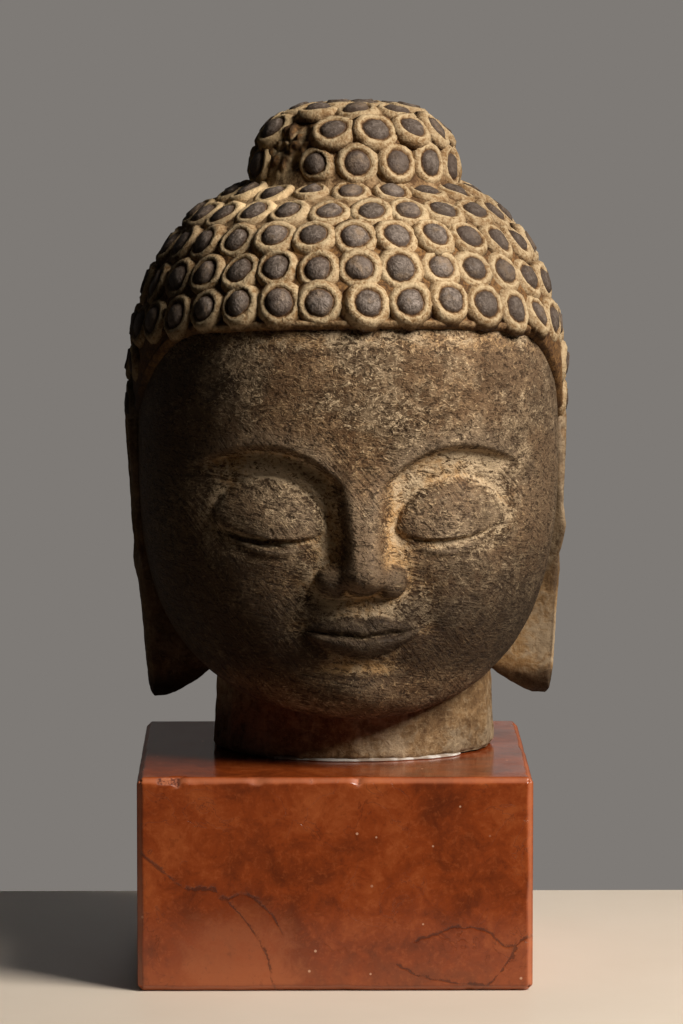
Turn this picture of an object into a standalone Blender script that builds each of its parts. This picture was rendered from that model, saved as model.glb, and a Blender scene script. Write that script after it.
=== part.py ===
"""A carved stone Buddha head on a red marble plinth.

Metres, +Z up, the face looking towards -Y. The origin is the centre of the plinth's underside, and every
height is measured from there. The head is one carved stone: a lofted skull with the face worked into its
front, a short cut neck, two long ears and a scalp set with rows of round curls. It is bedded on the
plinth, a chamfered block, with a thin layer of white mortar.
"""

import math

import bmesh
import bpy
import numpy as np
from mathutils import Matrix, Vector
from mathutils.geometry import delaunay_2d_cdt

# Plinth and bedding
PLINTH_SIDE = 0.110
PLINTH_HEIGHT = 0.060
PLINTH_CHAMFER = 0.0016
JOINT_GAP = 0.0003
MORTAR_THICKNESS = 0.0012

# Place of the head on the plinth, and how far it is turned
HEAD_AXIS = (0.004, 0.008)
HEAD_TURN = math.radians(3.5)

# The face is twelve units high from chin to hairline, four for each third
HAIRLINE_HEIGHT = 0.184
UNIT = 0.0092
CHIN_HEIGHT = HAIRLINE_HEIGHT - 12 * UNIT

# Places on the face in units: across from the middle line, up from the chin
BROW_PEAK = (2.9, 8.55)
BROW_FALL = (0.216, 0.139)
EYE_ACROSS = 2.75
EYE_HALF = 1.70
EYE_SLANT = 0.07
LASH_UP = 5.98
LASH_DROOP = 0.28
OPENING = 0.30
LID_UP = 6.55
LID_REACH = (1.95, 1.20)
POUCH_UP = 5.10
POUCH_REACH = (1.8, 0.55)
NOSE_UP = (3.85, 4.12, 4.42, 4.9, 5.6, 6.5, 7.5, 8.5)
NOSE_RIDGE = (0.0, 0.0066, 0.0108, 0.0112, 0.0087, 0.0056, 0.0024, 0.0)
NOSE_TIP_UP = 4.62
NOSE_TIP_REACH = (0.80, 0.64)
NOSE_WING = (0.84, 4.42)
NOSE_WING_REACH = (0.54, 0.50)
MOUTH_UP = 2.78
MOUTH_HALF = 1.85
MOUTH_BASE_REACH = (2.3, 1.5)
MOUTH_CORNER = (1.98, 2.98)
LIP_CURL = 0.16
UPPER_LIP_HEIGHT = 0.66
LOWER_LIP_HEIGHT = 0.74
CHIN_UP = 0.95
CHIN_REACH = (1.25, 0.75)
CHEEK = (3.4, 3.7)
CHEEK_REACH = (1.7, 1.6)

# How far those forms stand out or are cut in, in metres
SOCKET_DEPTH = 0.0046
LID_FULLNESS = 0.0040
OPENING_DEPTH = 0.0014
POUCH_FULLNESS = 0.0012
NOSE_TIP_FULLNESS = 0.0124
NOSE_WING_FULLNESS = 0.0070
MOUTH_BASE_FULLNESS = 0.0032
UPPER_LIP_FULLNESS = 0.0025
LOWER_LIP_FULLNESS = 0.0030
PARTING_DEPTH = 0.0015
MOUTH_CORNER_DEPTH = 0.0014
CHIN_FULLNESS = 0.0034
UNDER_LIP_DEPTH = 0.0016
CHEEK_FULLNESS = 0.0024

# Neck
NECK_FOOT = PLINTH_HEIGHT + MORTAR_THICKNESS + 2 * JOINT_GAP
NECK_SET = (0.002, 0.003)
NECK_RADIUS = 0.0408
NECK_TOP_RADIUS = 0.0385
NECK_DEPTH_RATIO = 0.915
NECK_TOP = 0.098
NECK_SIDES = 44

# Sections of the skull from under the jaw to under the crown:
# height, half width, reach to the front, reach to the back
SKULL = np.array((
    (0.0732, 0.0140, 0.0200, 0.0140),
    (0.0730, 0.0260, 0.0330, 0.0250),
    (0.0736, 0.0330, 0.0425, 0.0310),
    (0.0775, 0.0400, 0.0498, 0.0360),
    (0.0860, 0.0473, 0.0530, 0.0430),
    (0.0970, 0.0528, 0.0546, 0.0495),
    (0.1090, 0.0564, 0.0561, 0.0545),
    (0.1210, 0.0588, 0.0575, 0.0580),
    (0.1330, 0.0600, 0.0587, 0.0603),
    (0.1450, 0.0603, 0.0596, 0.0615),
    (0.1570, 0.0600, 0.0603, 0.0618),
    (0.1690, 0.0592, 0.0603, 0.0613),
    (0.1810, 0.0575, 0.0590, 0.0600),
    (0.1920, 0.0545, 0.0562, 0.0575),
    (0.2010, 0.0495, 0.0515, 0.0530),
    (0.2070, 0.0400, 0.0420, 0.0440),
))
JAW_RISE = 0.016
JAW_RISE_SECTIONS = (2, 7)
FULL_FRONT_SECTIONS = (2, 6)
FACE_EDGE = (0.25, 0.60)
SKULL_ROWS = 150
SKULL_COLUMNS = 150
SKULL_FACES_KEPT = 0.090
FRONT_CROWDING = 0.31
FRONT_FULLNESS = 2.22

# Sections of the scalp from the crown down to the nape:
# height, half width, reach to the front, reach to the back, share of the topknot's offset
SCALP = np.array((
    (0.2423, 0.0002, 0.0002, 0.0002, 1.0),
    (0.2419, 0.0115, 0.0115, 0.0115, 1.0),
    (0.2394, 0.0198, 0.0198, 0.0198, 1.0),
    (0.2342, 0.0252, 0.0252, 0.0252, 1.0),
    (0.2270, 0.0273, 0.0275, 0.0275, 1.0),
    (0.2206, 0.0292, 0.0300, 0.0300, 1.0),
    (0.2170, 0.0350, 0.0375, 0.0360, 0.8),
    (0.2120, 0.0426, 0.0458, 0.0445, 0.5),
    (0.2045, 0.0496, 0.0528, 0.0523, 0.2),
    (0.1950, 0.0548, 0.0576, 0.0580, 0.0),
    (0.1840, 0.0583, 0.0608, 0.0616, 0.0),
    (0.1725, 0.0601, 0.0619, 0.0629, 0.0),
    (0.1600, 0.0607, 0.0619, 0.0634, 0.0),
    (0.1480, 0.0608, 0.0614, 0.0632, 0.0),
    (0.1360, 0.0608, 0.0606, 0.0622, 0.0),
    (0.1240, 0.0602, 0.0594, 0.0603, 0.0),
    (0.1120, 0.0583, 0.0580, 0.0570, 0.0),
    (0.1010, 0.0556, 0.0566, 0.0528, 0.0),
    (0.0920, 0.0515, 0.0550, 0.0480, 0.0),
    (0.0820, 0.0460, 0.0530, 0.0425, 0.0),
))
TOPKNOT_OFFSET = (0.0025, 0.0040)
FULL_FRONT_DOWN = (0.070, 0.095)

# Edge of the hair: degrees round from the front, height
HAIRLINE = (
    (0, HAIRLINE_HEIGHT),
    (35, 0.1825),
    (58, 0.1785),
    (72, 0.1700),
    (84, 0.1620),
    (98, 0.1590),
    (108, 0.1450),
    (115, 0.1180),
    (124, 0.0970),
    (142, 0.0885),
    (180, 0.0865),
)
HAIRLINE_STEP = 0.0068
HAIR_ROOT = (0.0, 0.0, 0.150)

# Rows of curls: distance of the first row from the crown, pitch down and around
FIRST_ROW = 0.0050
ROW_PITCH = 0.0097
LOW_ROW_PITCH = 0.0108
TOP_ROWS = 9
LOW_ROWS = 8
ROW_DROOP = 0.0105
DROOP_START = math.radians(18)
DROOP_END = math.radians(95)
CURL_PITCH = 0.0120
TOP_CURL_PITCH = 0.0114
TOPKNOT_ROWS = 4
ROW_TURNS = (0.3, 0.0, 0.35, -0.15, -0.28, 0.17, -0.20, -0.06, 0.08)
CURL_SCATTER = 0.0004
CURL_EDGE_ROOM = 0.0051
CURL_RADIUS = 0.0043
CURL_CROWDING = 0.42
CURL_HEIGHT = 0.0030
CURL_SIDES = 8
CURL_SEED = 11

# Sections of an ear from the tip of the lobe upwards:
# height, middle along the depth, half breadth, outer face, inner face
EAR = np.array((
    (0.0745, 0.0050, 0.0030, 0.0568, 0.0525),
    (0.0765, 0.0052, 0.0062, 0.0577, 0.0490),
    (0.0805, 0.0056, 0.0082, 0.0584, 0.0430),
    (0.0860, 0.0060, 0.0092, 0.0590, 0.0380),
    (0.0950, 0.0064, 0.0098, 0.0598, 0.0380),
    (0.1060, 0.0069, 0.0108, 0.0608, 0.0400),
    (0.1180, 0.0074, 0.0126, 0.0616, 0.0450),
    (0.1300, 0.0078, 0.0146, 0.0624, 0.0480),
    (0.1410, 0.0080, 0.0154, 0.0629, 0.0480),
    (0.1500, 0.0080, 0.0135, 0.0630, 0.0480),
    (0.1560, 0.0076, 0.0092, 0.0624, 0.0480),
    (0.1590, 0.0072, 0.0040, 0.0605, 0.0480),
))
EAR_ROWS = 60
EAR_COLUMNS = 34
EAR_FACES_KEPT = 0.090
EAR_INNER_BACK = 0.6
EAR_INNER_FRONT = -0.4
AURICLE_MIDDLE = 0.138
AURICLE_TOP_REACH = 0.0205
AURICLE_FOOT = (0.108, 0.122)
AURICLE_HALF = 0.0154
LEFT_LOBE_LEAN = 0.0025


def through(places, values, at):
    """Reads a smooth curve through the values, given at rising places."""
    slopes = np.gradient(values, places, axis=0)
    low = np.clip(np.searchsorted(places, at) - 1, 0, len(places) - 2)
    step = places[low + 1] - places[low]
    share = np.clip((at - places[low]) / step, 0.0, 1.0)
    if np.ndim(values) > 1:
        step = step[..., None]
        share = share[..., None]
    square = share**2
    cube = share**3
    return (
        values[low] * (2 * cube - 3 * square + 1)
        + slopes[low] * step * (cube - 2 * square + share)
        + values[low + 1] * (3 * square - 2 * cube)
        + slopes[low + 1] * step * (cube - square)
    )


def ease(start, end, value):
    """Rises smoothly from 0 at start to 1 at end."""
    share = np.clip((value - start) / (end - start), 0.0, 1.0)
    return share * share * (3 - 2 * share)


def mound(across, up, middle_across, middle_up, reach_across, reach_up):
    """A soft round rise of height 1."""
    return np.exp(-(((across - middle_across) / reach_across) ** 2) - ((up - middle_up) / reach_up) ** 2)


def dome(across, up, middle_across, middle_up, reach_across, reach_up):
    """A full round rise of height 1 with a clear edge."""
    inside = 1 - ((across - middle_across) / reach_across) ** 2 - ((up - middle_up) / reach_up) ** 2
    return np.sqrt(np.clip(inside, 0.0, 1.0))


def eye_relief(across, up):
    """Socket under an arched brow, with a full lowered lid and a narrow opening. Units in, metres out."""
    from_arch = across - BROW_PEAK[0]
    brow = BROW_PEAK[1] - np.where(from_arch < 0, *BROW_FALL) * from_arch**2
    below = brow - up
    socket = SOCKET_DEPTH * ease(0.45, 1.25, across) * (1 - ease(3.6, 5.7, across))
    socket = socket * ease(0.0, 0.40, below) * (1 - ease(1.1, 3.9, below))
    arc = np.clip(1 - ((across - EYE_ACROSS) / EYE_HALF) ** 2, 0.0, 1.0)
    lash_line = LASH_UP - LASH_DROOP * arc + EYE_SLANT * (across - EYE_ACROSS)
    lower_line = lash_line - OPENING * arc
    lid = LID_FULLNESS * dome(across, up, EYE_ACROSS, LID_UP, *LID_REACH)
    under_lid = ease(0.0, 0.16, lash_line - up)
    opening = OPENING_DEPTH * arc * under_lid * (1 - ease(-0.10, 0.10, lower_line - up))
    pouch = POUCH_FULLNESS * mound(across, up, EYE_ACROSS, POUCH_UP, *POUCH_REACH)
    return lid * (1 - 0.35 * under_lid) - socket - opening + pouch


def nose_relief(across, up):
    """Straight nose that flows down from the brows, with rounded wings. Units in, metres out."""
    ridge = through(np.array(NOSE_UP), np.array(NOSE_RIDGE), up)
    top_half = 0.16 + 0.14 * ease(5.2, 7.4, up)
    foot_half = 0.95 + 0.22 * (1 - ease(4.6, 6.4, up))
    bridge = ridge * (1 - ease(top_half, foot_half, across))
    tip = NOSE_TIP_FULLNESS * dome(across, up, 0.0, NOSE_TIP_UP, *NOSE_TIP_REACH)
    wing = NOSE_WING_FULLNESS * dome(across, up, *NOSE_WING, *NOSE_WING_REACH)
    return np.maximum(np.maximum(bridge, wing), tip)


def mouth_relief(across, up):
    """Small full lips with lifted corners, on a softly rounded base. Units in, metres out."""
    base = MOUTH_BASE_FULLNESS * mound(across, up, 0.0, MOUTH_UP, *MOUTH_BASE_REACH)
    reach = np.clip(across / MOUTH_HALF, 0.0, 1.0)
    parting = MOUTH_UP + LIP_CURL * reach**2 - 0.07 * mound(across, 0.0, 0.0, 0.0, 0.3, 1.0)
    bow = 0.08 * mound(across, 0.0, 0.0, 0.0, 0.22, 1.0)
    upper_edge = parting + (UPPER_LIP_HEIGHT - bow) * (1 - reach**1.6)
    lower_edge = parting - LOWER_LIP_HEIGHT * (1 - reach**2.2)
    fullness = np.sqrt(np.clip(1 - (across / (MOUTH_HALF + 0.10)) ** 2, 0.0, 1.0))
    upward = (up - parting) / np.maximum(upper_edge - parting, 0.05)
    downward = (parting - up) / np.maximum(parting - lower_edge, 0.05)
    roll = np.sqrt(np.clip(1 - upward**2, 0.0, 1.0)) * (upward >= 0)
    pad = np.sin(math.pi * np.clip(0.25 + 0.75 * downward, 0.0, 1.0)) * (downward > 0)
    upper = UPPER_LIP_FULLNESS * fullness * roll
    lower = LOWER_LIP_FULLNESS * fullness * pad
    groove = PARTING_DEPTH * np.exp(-(((up - parting) / 0.12) ** 2)) * (1 - ease(1.65, 2.0, across))
    corner = MOUTH_CORNER_DEPTH * mound(across, up, *MOUTH_CORNER, 0.28, 0.30)
    philtrum = 0.0008 * mound(across, up, 0.0, 3.72, 0.26, 0.26)
    return base + upper + lower - groove - corner - philtrum


def face_relief(across, height):
    """How far the carved face stands in front of the skull, in metres."""
    x = np.abs(across) / UNIT
    up = (height - CHIN_HEIGHT) / UNIT
    chin = CHIN_FULLNESS * mound(x, up, 0.0, CHIN_UP, *CHIN_REACH)
    under_lip = UNDER_LIP_DEPTH * mound(x, up, 0.0, 1.72, 1.4, 0.28)
    cheek = CHEEK_FULLNESS * mound(x, up, *CHEEK, *CHEEK_REACH)
    fold = 0.0010 * mound(x, up, 1.95, 3.75, 0.45, 0.8)
    temple = 0.0008 * mound(x, up, 5.4, 8.2, 1.0, 1.6)
    relief = eye_relief(x, up) + nose_relief(x, up) + mouth_relief(x, up)
    return relief + chin - under_lip + cheek - fold - temple


def skull_rows():
    """Rings of points of the skull, from under the jaw to under the crown, closed round the head."""
    keys = np.arange(len(SKULL), dtype=float)
    rows = np.linspace(0.0, len(SKULL) - 1.0, SKULL_ROWS)
    sections = through(keys, SKULL, rows)
    turn = np.arange(SKULL_COLUMNS) / SKULL_COLUMNS * 2 - 1
    angles = math.pi * (FRONT_CROWDING * turn + (1 - FRONT_CROWDING) * turn**3)
    front = np.maximum(np.cos(angles), 0.0)
    back = np.maximum(-np.cos(angles), 0.0)
    rings = []
    for row, (height, half_width, reach, back_reach) in zip(rows, sections):
        fullness = 2 + (FRONT_FULLNESS - 2) * ease(*FULL_FRONT_SECTIONS, row)
        across = half_width * np.sign(np.sin(angles)) * np.abs(np.sin(angles)) ** (2 / fullness)
        depth = back_reach * back - reach * front ** (2 / fullness)
        rise = JAW_RISE * (1 - ease(*JAW_RISE_SECTIONS, row)) * (1 - np.cos(angles)) / 2
        level = height + rise
        depth = depth - face_relief(across, level) * ease(*FACE_EDGE, front)
        rings.append([Vector(point) for point in zip(across, depth, level)])
    return rings


def ear_relief(place, height, half):
    """How far the carving of an ear stands out, from -1 at its front edge to 1 at its back edge."""
    above = max(0.0, (height - AURICLE_MIDDLE) / AURICLE_TOP_REACH)
    ring = np.hypot(place * half / AURICLE_HALF, above)
    upper = ease(*AURICLE_FOOT, height)
    rolled_rim = 0.0024 * ease(0.70, 0.84, ring) * (1 - 0.4 * ease(0.92, 1.05, ring))
    inner_ridge = 0.0020 * mound(place, height, 0.34, 0.133, 0.17, 0.019)
    bowl = 0.0034 * mound(place, height, -0.22, 0.127, 0.40, 0.0115)
    upper_hollow = 0.0014 * mound(place, height, -0.05, 0.147, 0.38, 0.0060)
    front_knob = 0.0022 * mound(place, height, -0.86, 0.1235, 0.22, 0.0045)
    low_knob = 0.0014 * mound(place, height, 0.22, 0.1125, 0.30, 0.0040)
    channel = 0.0013 * mound(place, height, 0.0, 0.094, 0.42, 0.0120)
    return upper * (rolled_rim + inner_ridge - 0.0018) - bowl - upper_hollow + front_knob + low_knob - channel


def ear_rows(side, lobe_lean):
    """Slices of one ear from the tip of its lobe upwards. Side is 1 at +X and -1 at -X."""
    keys = np.arange(len(EAR), dtype=float)
    rows = np.linspace(0.0, len(EAR) - 1.0, EAR_ROWS)
    place = np.linspace(-1.0, 1.0, EAR_COLUMNS)
    rings = []
    for height, middle, half, outer, inner in through(keys, EAR, rows):
        lean = lobe_lean * (1 - ease(0.074, 0.120, height))
        rounding = 0.0016 * place**8 * ease(0.074, 0.080, height)
        out = outer - lean + ear_relief(place, height, half) - rounding
        depth = middle + half * place
        ring = [Vector((side * x, y, height)) for x, y in zip(out, depth)]
        ring.append(Vector((side * (inner - lean), middle + EAR_INNER_BACK * half, height)))
        ring.append(Vector((side * (inner - lean), middle + EAR_INNER_FRONT * half, height)))
        rings.append(ring)
    return rings


def scalp_tables():
    """Distances down the side of the scalp at its sections, and a map radius that keeps the cells round."""
    steps = np.hypot(np.diff(SCALP[:, 0]), np.diff(SCALP[:, 1]))
    places = np.concatenate(([0.0], np.cumsum(steps)))
    fine = np.linspace(0.0005, places[-1], 800)
    around = through(places, SCALP[:, 1:4], fine).mean(axis=1)
    growth = np.concatenate(([0.0], np.cumsum(np.diff(fine) / around[1:])))
    return places, fine, fine[0] * np.exp(growth)


def scalp_point(places, down, angle):
    """Point of the scalp at a distance down from the crown and an angle round from the front."""
    height, half_width, reach, back_reach, offset = through(places, SCALP, np.array(down))
    fullness = 2 + (FRONT_FULLNESS - 2) * ease(*FULL_FRONT_DOWN, down)
    side = half_width * math.copysign(abs(math.sin(angle)) ** (2 / fullness), math.sin(angle))
    forward = math.cos(angle)
    if forward > 0:
        depth = -reach * forward ** (2 / fullness)
    else:
        depth = -back_reach * forward
    return Vector((side + offset * TOPKNOT_OFFSET[0], depth + offset * TOPKNOT_OFFSET[1], height))


def scalp_normal(places, down, angle):
    """Outward direction of the scalp, from three points close together."""
    near = 0.001
    here = scalp_point(places, down, angle)
    below = scalp_point(places, down + near, angle)
    beside = scalp_point(places, down, angle + near / max(down, near))
    return (beside - here).cross(here - below).normalized()


def hair_edge(places):
    """Evenly spaced points along the edge of the hair, as (distance down, angle)."""
    degrees, heights = np.array(HAIRLINE).T
    fine_angles = np.radians(np.arange(-180, 180, 1.0))
    levels = through(np.radians(degrees), heights, np.abs(fine_angles))
    downs = np.interp(-levels, -SCALP[:, 0], places)
    points = [scalp_point(places, down, angle) for down, angle in zip(downs, fine_angles)]
    points.append(points[0])
    steps = [(after - before).length for before, after in zip(points, points[1:])]
    along = np.concatenate(([0.0], np.cumsum(steps)))
    count = round(along[-1] / HAIRLINE_STEP)
    even = np.linspace(0.0, along[-1], count, endpoint=False)
    downs = np.append(downs, downs[0])
    turned = np.append(fine_angles, math.pi)
    return list(zip(np.interp(even, along, downs), np.interp(even, along, turned)))


def curl_places(places, edge):
    """Middles of the curls, row by row down from the crown, as (distance down, angle)."""
    scatter = np.random.default_rng(CURL_SEED)
    edge_points = [scalp_point(places, down, angle) for down, angle in edge]
    degrees, heights = np.array(HAIRLINE).T
    found = []
    for row in range(TOP_ROWS + LOW_ROWS):
        level = min(row, TOP_ROWS - 1)
        start = FIRST_ROW + ROW_PITCH * level + LOW_ROW_PITCH * (row - level)
        droop = ROW_DROOP * (level / (TOP_ROWS - 1)) ** 2
        around = through(places, SCALP[:, 1:4], np.array(start + droop / 2)).mean() * 2 * math.pi
        pitch = TOP_CURL_PITCH if row < TOPKNOT_ROWS else CURL_PITCH
        count = max(3, round(around / pitch))
        turn = ROW_TURNS[row] if row < TOP_ROWS else 0.5 * (row % 2)
        for index in range(count):
            angle = (index + turn) / count * 2 * math.pi
            angle = (angle + math.pi) % (2 * math.pi) - math.pi
            down = start + droop * ease(DROOP_START, DROOP_END, abs(angle))
            down += CURL_SCATTER * scatter.uniform(-1, 1)
            angle += CURL_SCATTER * scatter.uniform(-1, 1) / around * 2 * math.pi
            middle = scalp_point(places, down, angle)
            lowest = through(np.radians(degrees), heights, np.array(abs(angle)))
            room = min((middle - point).length for point in edge_points)
            if middle.z > lowest and room > CURL_EDGE_ROOM:
                found.append((down, angle))
    return found


def zip_rings(outer, outer_turns, inner, inner_turns):
    """Triangles that join two rings of unlike counts about one middle, both given anticlockwise."""
    zero = outer_turns[0]
    start = min(range(len(inner)), key=lambda i: abs(math.remainder(inner_turns[i] - zero, math.tau)))
    inner = inner[start:] + inner[:start]
    inner_turns = inner_turns[start:] + inner_turns[:start]
    first = zero + math.remainder(inner_turns[0] - zero, math.tau)
    lead = [zero + (turn - zero) % math.tau for turn in outer_turns] + [zero + math.tau]
    follow = [first + (turn - inner_turns[0]) % math.tau for turn in inner_turns] + [first + math.tau]
    triangles = []
    i = 0
    j = 0
    while i < len(outer) or j < len(inner):
        if j == len(inner) or (i < len(outer) and lead[i + 1] < follow[j + 1]):
            triangles.append((outer[i], outer[(i + 1) % len(outer)], inner[j % len(inner)]))
            i += 1
        else:
            triangles.append((outer[i % len(outer)], inner[(j + 1) % len(inner)], inner[j]))
            j += 1
    return triangles


def hair_mesh():
    """The scalp as one closed body: each curl a flat-topped boss in its own cell, valleys between them."""
    places, fine, radii = scalp_tables()
    edge = hair_edge(places)
    curls = curl_places(places, edge)
    spots = curls + edge
    flat = []
    for down, angle in spots:
        radius = np.interp(down, fine, radii)
        flat.append(Vector((radius * math.cos(angle), radius * math.sin(angle))))
    rim = list(range(len(curls), len(spots)))
    rim_edges = list(zip(rim, rim[1:] + rim[:1]))
    flat, _, cells, origins, _, _ = delaunay_2d_cdt(flat, rim_edges, [], 1, 1e-9)
    body = bmesh.new()
    valleys = []
    for cell in cells:
        middle = sum((flat[i] for i in cell), Vector((0.0, 0.0))) / 3
        down = np.interp(middle.length, radii, fine)
        valleys.append(body.verts.new(scalp_point(places, down, math.atan2(middle.y, middle.x))))
    around = {}
    edge_cells = {}
    for number, cell in enumerate(cells):
        for corner in cell:
            around.setdefault(corner, []).append(number)
        for pair in zip(cell, cell[1:] + cell[:1]):
            edge_cells.setdefault(frozenset(pair), []).append(number)
    source = {i: origins[i][0] for i in range(len(flat))}
    rim_verts = {}
    for i, spot in source.items():
        if spot >= len(curls):
            rim_verts[i] = body.verts.new(scalp_point(places, *spots[spot]))
    for pair, numbers in edge_cells.items():
        on_rim = [i for i in pair if i in rim_verts]
        if len(numbers) == 1:
            body.faces.new([rim_verts[i] for i in pair] + [valleys[numbers[0]]])
        else:
            for i in on_rim:
                body.faces.new((rim_verts[i], valleys[numbers[0]], valleys[numbers[1]]))
    normals = [scalp_normal(places, *spot) for spot in curls]
    tops = [scalp_point(places, *spot) + CURL_HEIGHT * normal for spot, normal in zip(curls, normals)]
    for i, numbers in around.items():
        if i in rim_verts:
            continue
        top = tops[source[i]]
        lean = normals[source[i]].to_track_quat("Z", "Y").to_matrix()
        nearest = min((top - other).length for other in tops if other is not top)
        radius = min(CURL_RADIUS, CURL_CROWDING * nearest)
        ring = []
        for step in range(CURL_SIDES):
            turn = step / CURL_SIDES * math.tau
            spoke = Vector((radius * math.cos(turn), radius * math.sin(turn), 0.0))
            ring.append(body.verts.new(top + lean @ spoke))
        turns = {}
        for number in numbers:
            local = lean.transposed() @ (valleys[number].co - top)
            turns[number] = math.atan2(local.y, local.x)
        order = sorted(numbers, key=turns.get)
        outer_turns = [turns[number] for number in order]
        inner_turns = [step / CURL_SIDES * math.tau for step in range(CURL_SIDES)]
        for triangle in zip_rings([valleys[number] for number in order], outer_turns, ring, inner_turns):
            body.faces.new(triangle)
        body.faces.new(ring)
    root = body.verts.new(HAIR_ROOT)
    borders = [border for border in body.edges if len(border.link_faces) == 1]
    for border in borders:
        body.faces.new((border.verts[0], border.verts[1], root))
    bmesh.ops.recalc_face_normals(body, faces=body.faces)
    return body


def loft_mesh(rings):
    """Skins closed rings of equal counts and closes both ends."""
    body = bmesh.new()
    rows = [[body.verts.new(point) for point in ring] for ring in rings]
    count = len(rows[0])
    for low, high in zip(rows, rows[1:]):
        for i in range(count):
            j = (i + 1) % count
            body.faces.new((low[i], low[j], high[j], high[i]))
    body.faces.new(rows[0])
    body.faces.new(rows[-1])
    bmesh.ops.recalc_face_normals(body, faces=body.faces)
    return body


def neck_mesh():
    """The cut neck: an oval column that narrows a little upwards."""
    body = bmesh.new()
    bmesh.ops.create_cone(
        body,
        cap_ends=True,
        segments=NECK_SIDES,
        radius1=NECK_RADIUS,
        radius2=NECK_TOP_RADIUS,
        depth=NECK_TOP - NECK_FOOT,
        matrix=Matrix.Translation((*NECK_SET, (NECK_TOP + NECK_FOOT) / 2))
        @ Matrix.Diagonal((1, NECK_DEPTH_RATIO, 1, 1)),
    )
    return body


def stone(name, colour, roughness):
    """A dielectric surface of one colour."""
    material = bpy.data.materials.new(name)
    material.use_nodes = True
    shader = material.node_tree.nodes["Principled BSDF"]
    shader.inputs["Base Color"].default_value = (*colour, 1.0)
    shader.inputs["Roughness"].default_value = roughness
    shader.inputs["Metallic"].default_value = 0.0
    return material


def add(name, body, collection, material=None):
    """Makes an object of a bmesh, smooth where its faces meet gently."""
    mesh = bpy.data.meshes.new(name)
    body.to_mesh(mesh)
    body.free()
    mesh.shade_smooth()
    mesh.set_sharp_from_angle(angle=math.radians(35))
    if material:
        mesh.materials.append(material)
    made = bpy.data.objects.new(name, mesh)
    collection.objects.link(made)
    return made


def thin_out(made, share):
    """Keeps a share of the faces, most of them where the form turns."""
    thinning = made.modifiers.new("fewer faces where it is plain", "DECIMATE")
    thinning.ratio = share


def join_by_union(target, tool):
    """Unites a tool body with the target and keeps the tool out of the render."""
    tool.hide_render = True
    tool.display_type = "WIRE"
    tool.parent = target
    union = target.modifiers.new("union with " + tool.name, "BOOLEAN")
    union.operation = "UNION"
    union.solver = "EXACT"
    union.object = tool


def make_plinth(collection):
    """The marble block with its narrow chamfers."""
    body = bmesh.new()
    bmesh.ops.create_cube(
        body,
        size=1.0,
        matrix=Matrix.Translation((0, 0, PLINTH_HEIGHT / 2))
        @ Matrix.Diagonal((PLINTH_SIDE, PLINTH_SIDE, PLINTH_HEIGHT, 1)),
    )
    plinth = add("marble_plinth", body, collection, stone("red marble", (0.30, 0.075, 0.035), 0.22))
    chamfer = plinth.modifiers.new("chamfer", "BEVEL")
    chamfer.width = PLINTH_CHAMFER
    chamfer.segments = 1
    return plinth


def make_bedding(collection):
    """The thin layer of mortar, spread to the edge of the neck."""
    body = bmesh.new()
    bmesh.ops.create_cone(
        body,
        cap_ends=True,
        segments=NECK_SIDES,
        radius1=NECK_RADIUS,
        radius2=NECK_RADIUS,
        depth=MORTAR_THICKNESS,
        matrix=Matrix.Diagonal((1, NECK_DEPTH_RATIO, 1, 1)),
    )
    bedding = add("bedding_mortar", body, collection, stone("white mortar", (0.70, 0.67, 0.60), 0.9))
    middle = Matrix.Rotation(HEAD_TURN, 3, "Z") @ Vector((*NECK_SET, 0.0))
    height = PLINTH_HEIGHT + JOINT_GAP + MORTAR_THICKNESS / 2
    bedding.location = (HEAD_AXIS[0] + middle.x, HEAD_AXIS[1] + middle.y, height)
    bedding.rotation_euler.z = HEAD_TURN
    return bedding


def make_head(collection, tools):
    """The carved head: skull and face, with the neck, ears and hair united to it."""
    brown_stone = stone("brown stone", (0.16, 0.115, 0.075), 0.75)
    head = add("stone_head", loft_mesh(skull_rows()), collection, brown_stone)
    head.location = (*HEAD_AXIS, 0.0)
    head.rotation_euler.z = HEAD_TURN
    thin_out(head, SKULL_FACES_KEPT)
    join_by_union(head, add("neck", neck_mesh(), tools))
    for name, side, lobe_lean in (("ear_right", 1, 0.0), ("ear_left", -1, LEFT_LOBE_LEAN)):
        ear = add(name, loft_mesh(ear_rows(side, lobe_lean)), tools)
        thin_out(ear, EAR_FACES_KEPT)
        join_by_union(head, ear)
    join_by_union(head, add("hair", hair_mesh(), tools))
    return head


for leftover in list(bpy.data.objects):
    bpy.data.objects.remove(leftover)
parts = bpy.data.collections.new("stone_buddha_head")
bodies = bpy.data.collections.new("bodies_united_with_the_head")
bpy.context.scene.collection.children.link(parts)
bpy.context.scene.collection.children.link(bodies)
make_plinth(parts)
make_bedding(parts)
make_head(parts, bodies)
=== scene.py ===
"""A carved stone Buddha head, bedded with mortar on a polished block of red marble."""

import math

import bmesh
import bpy
import numpy as np
from mathutils import Matrix, Vector, noise


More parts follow.
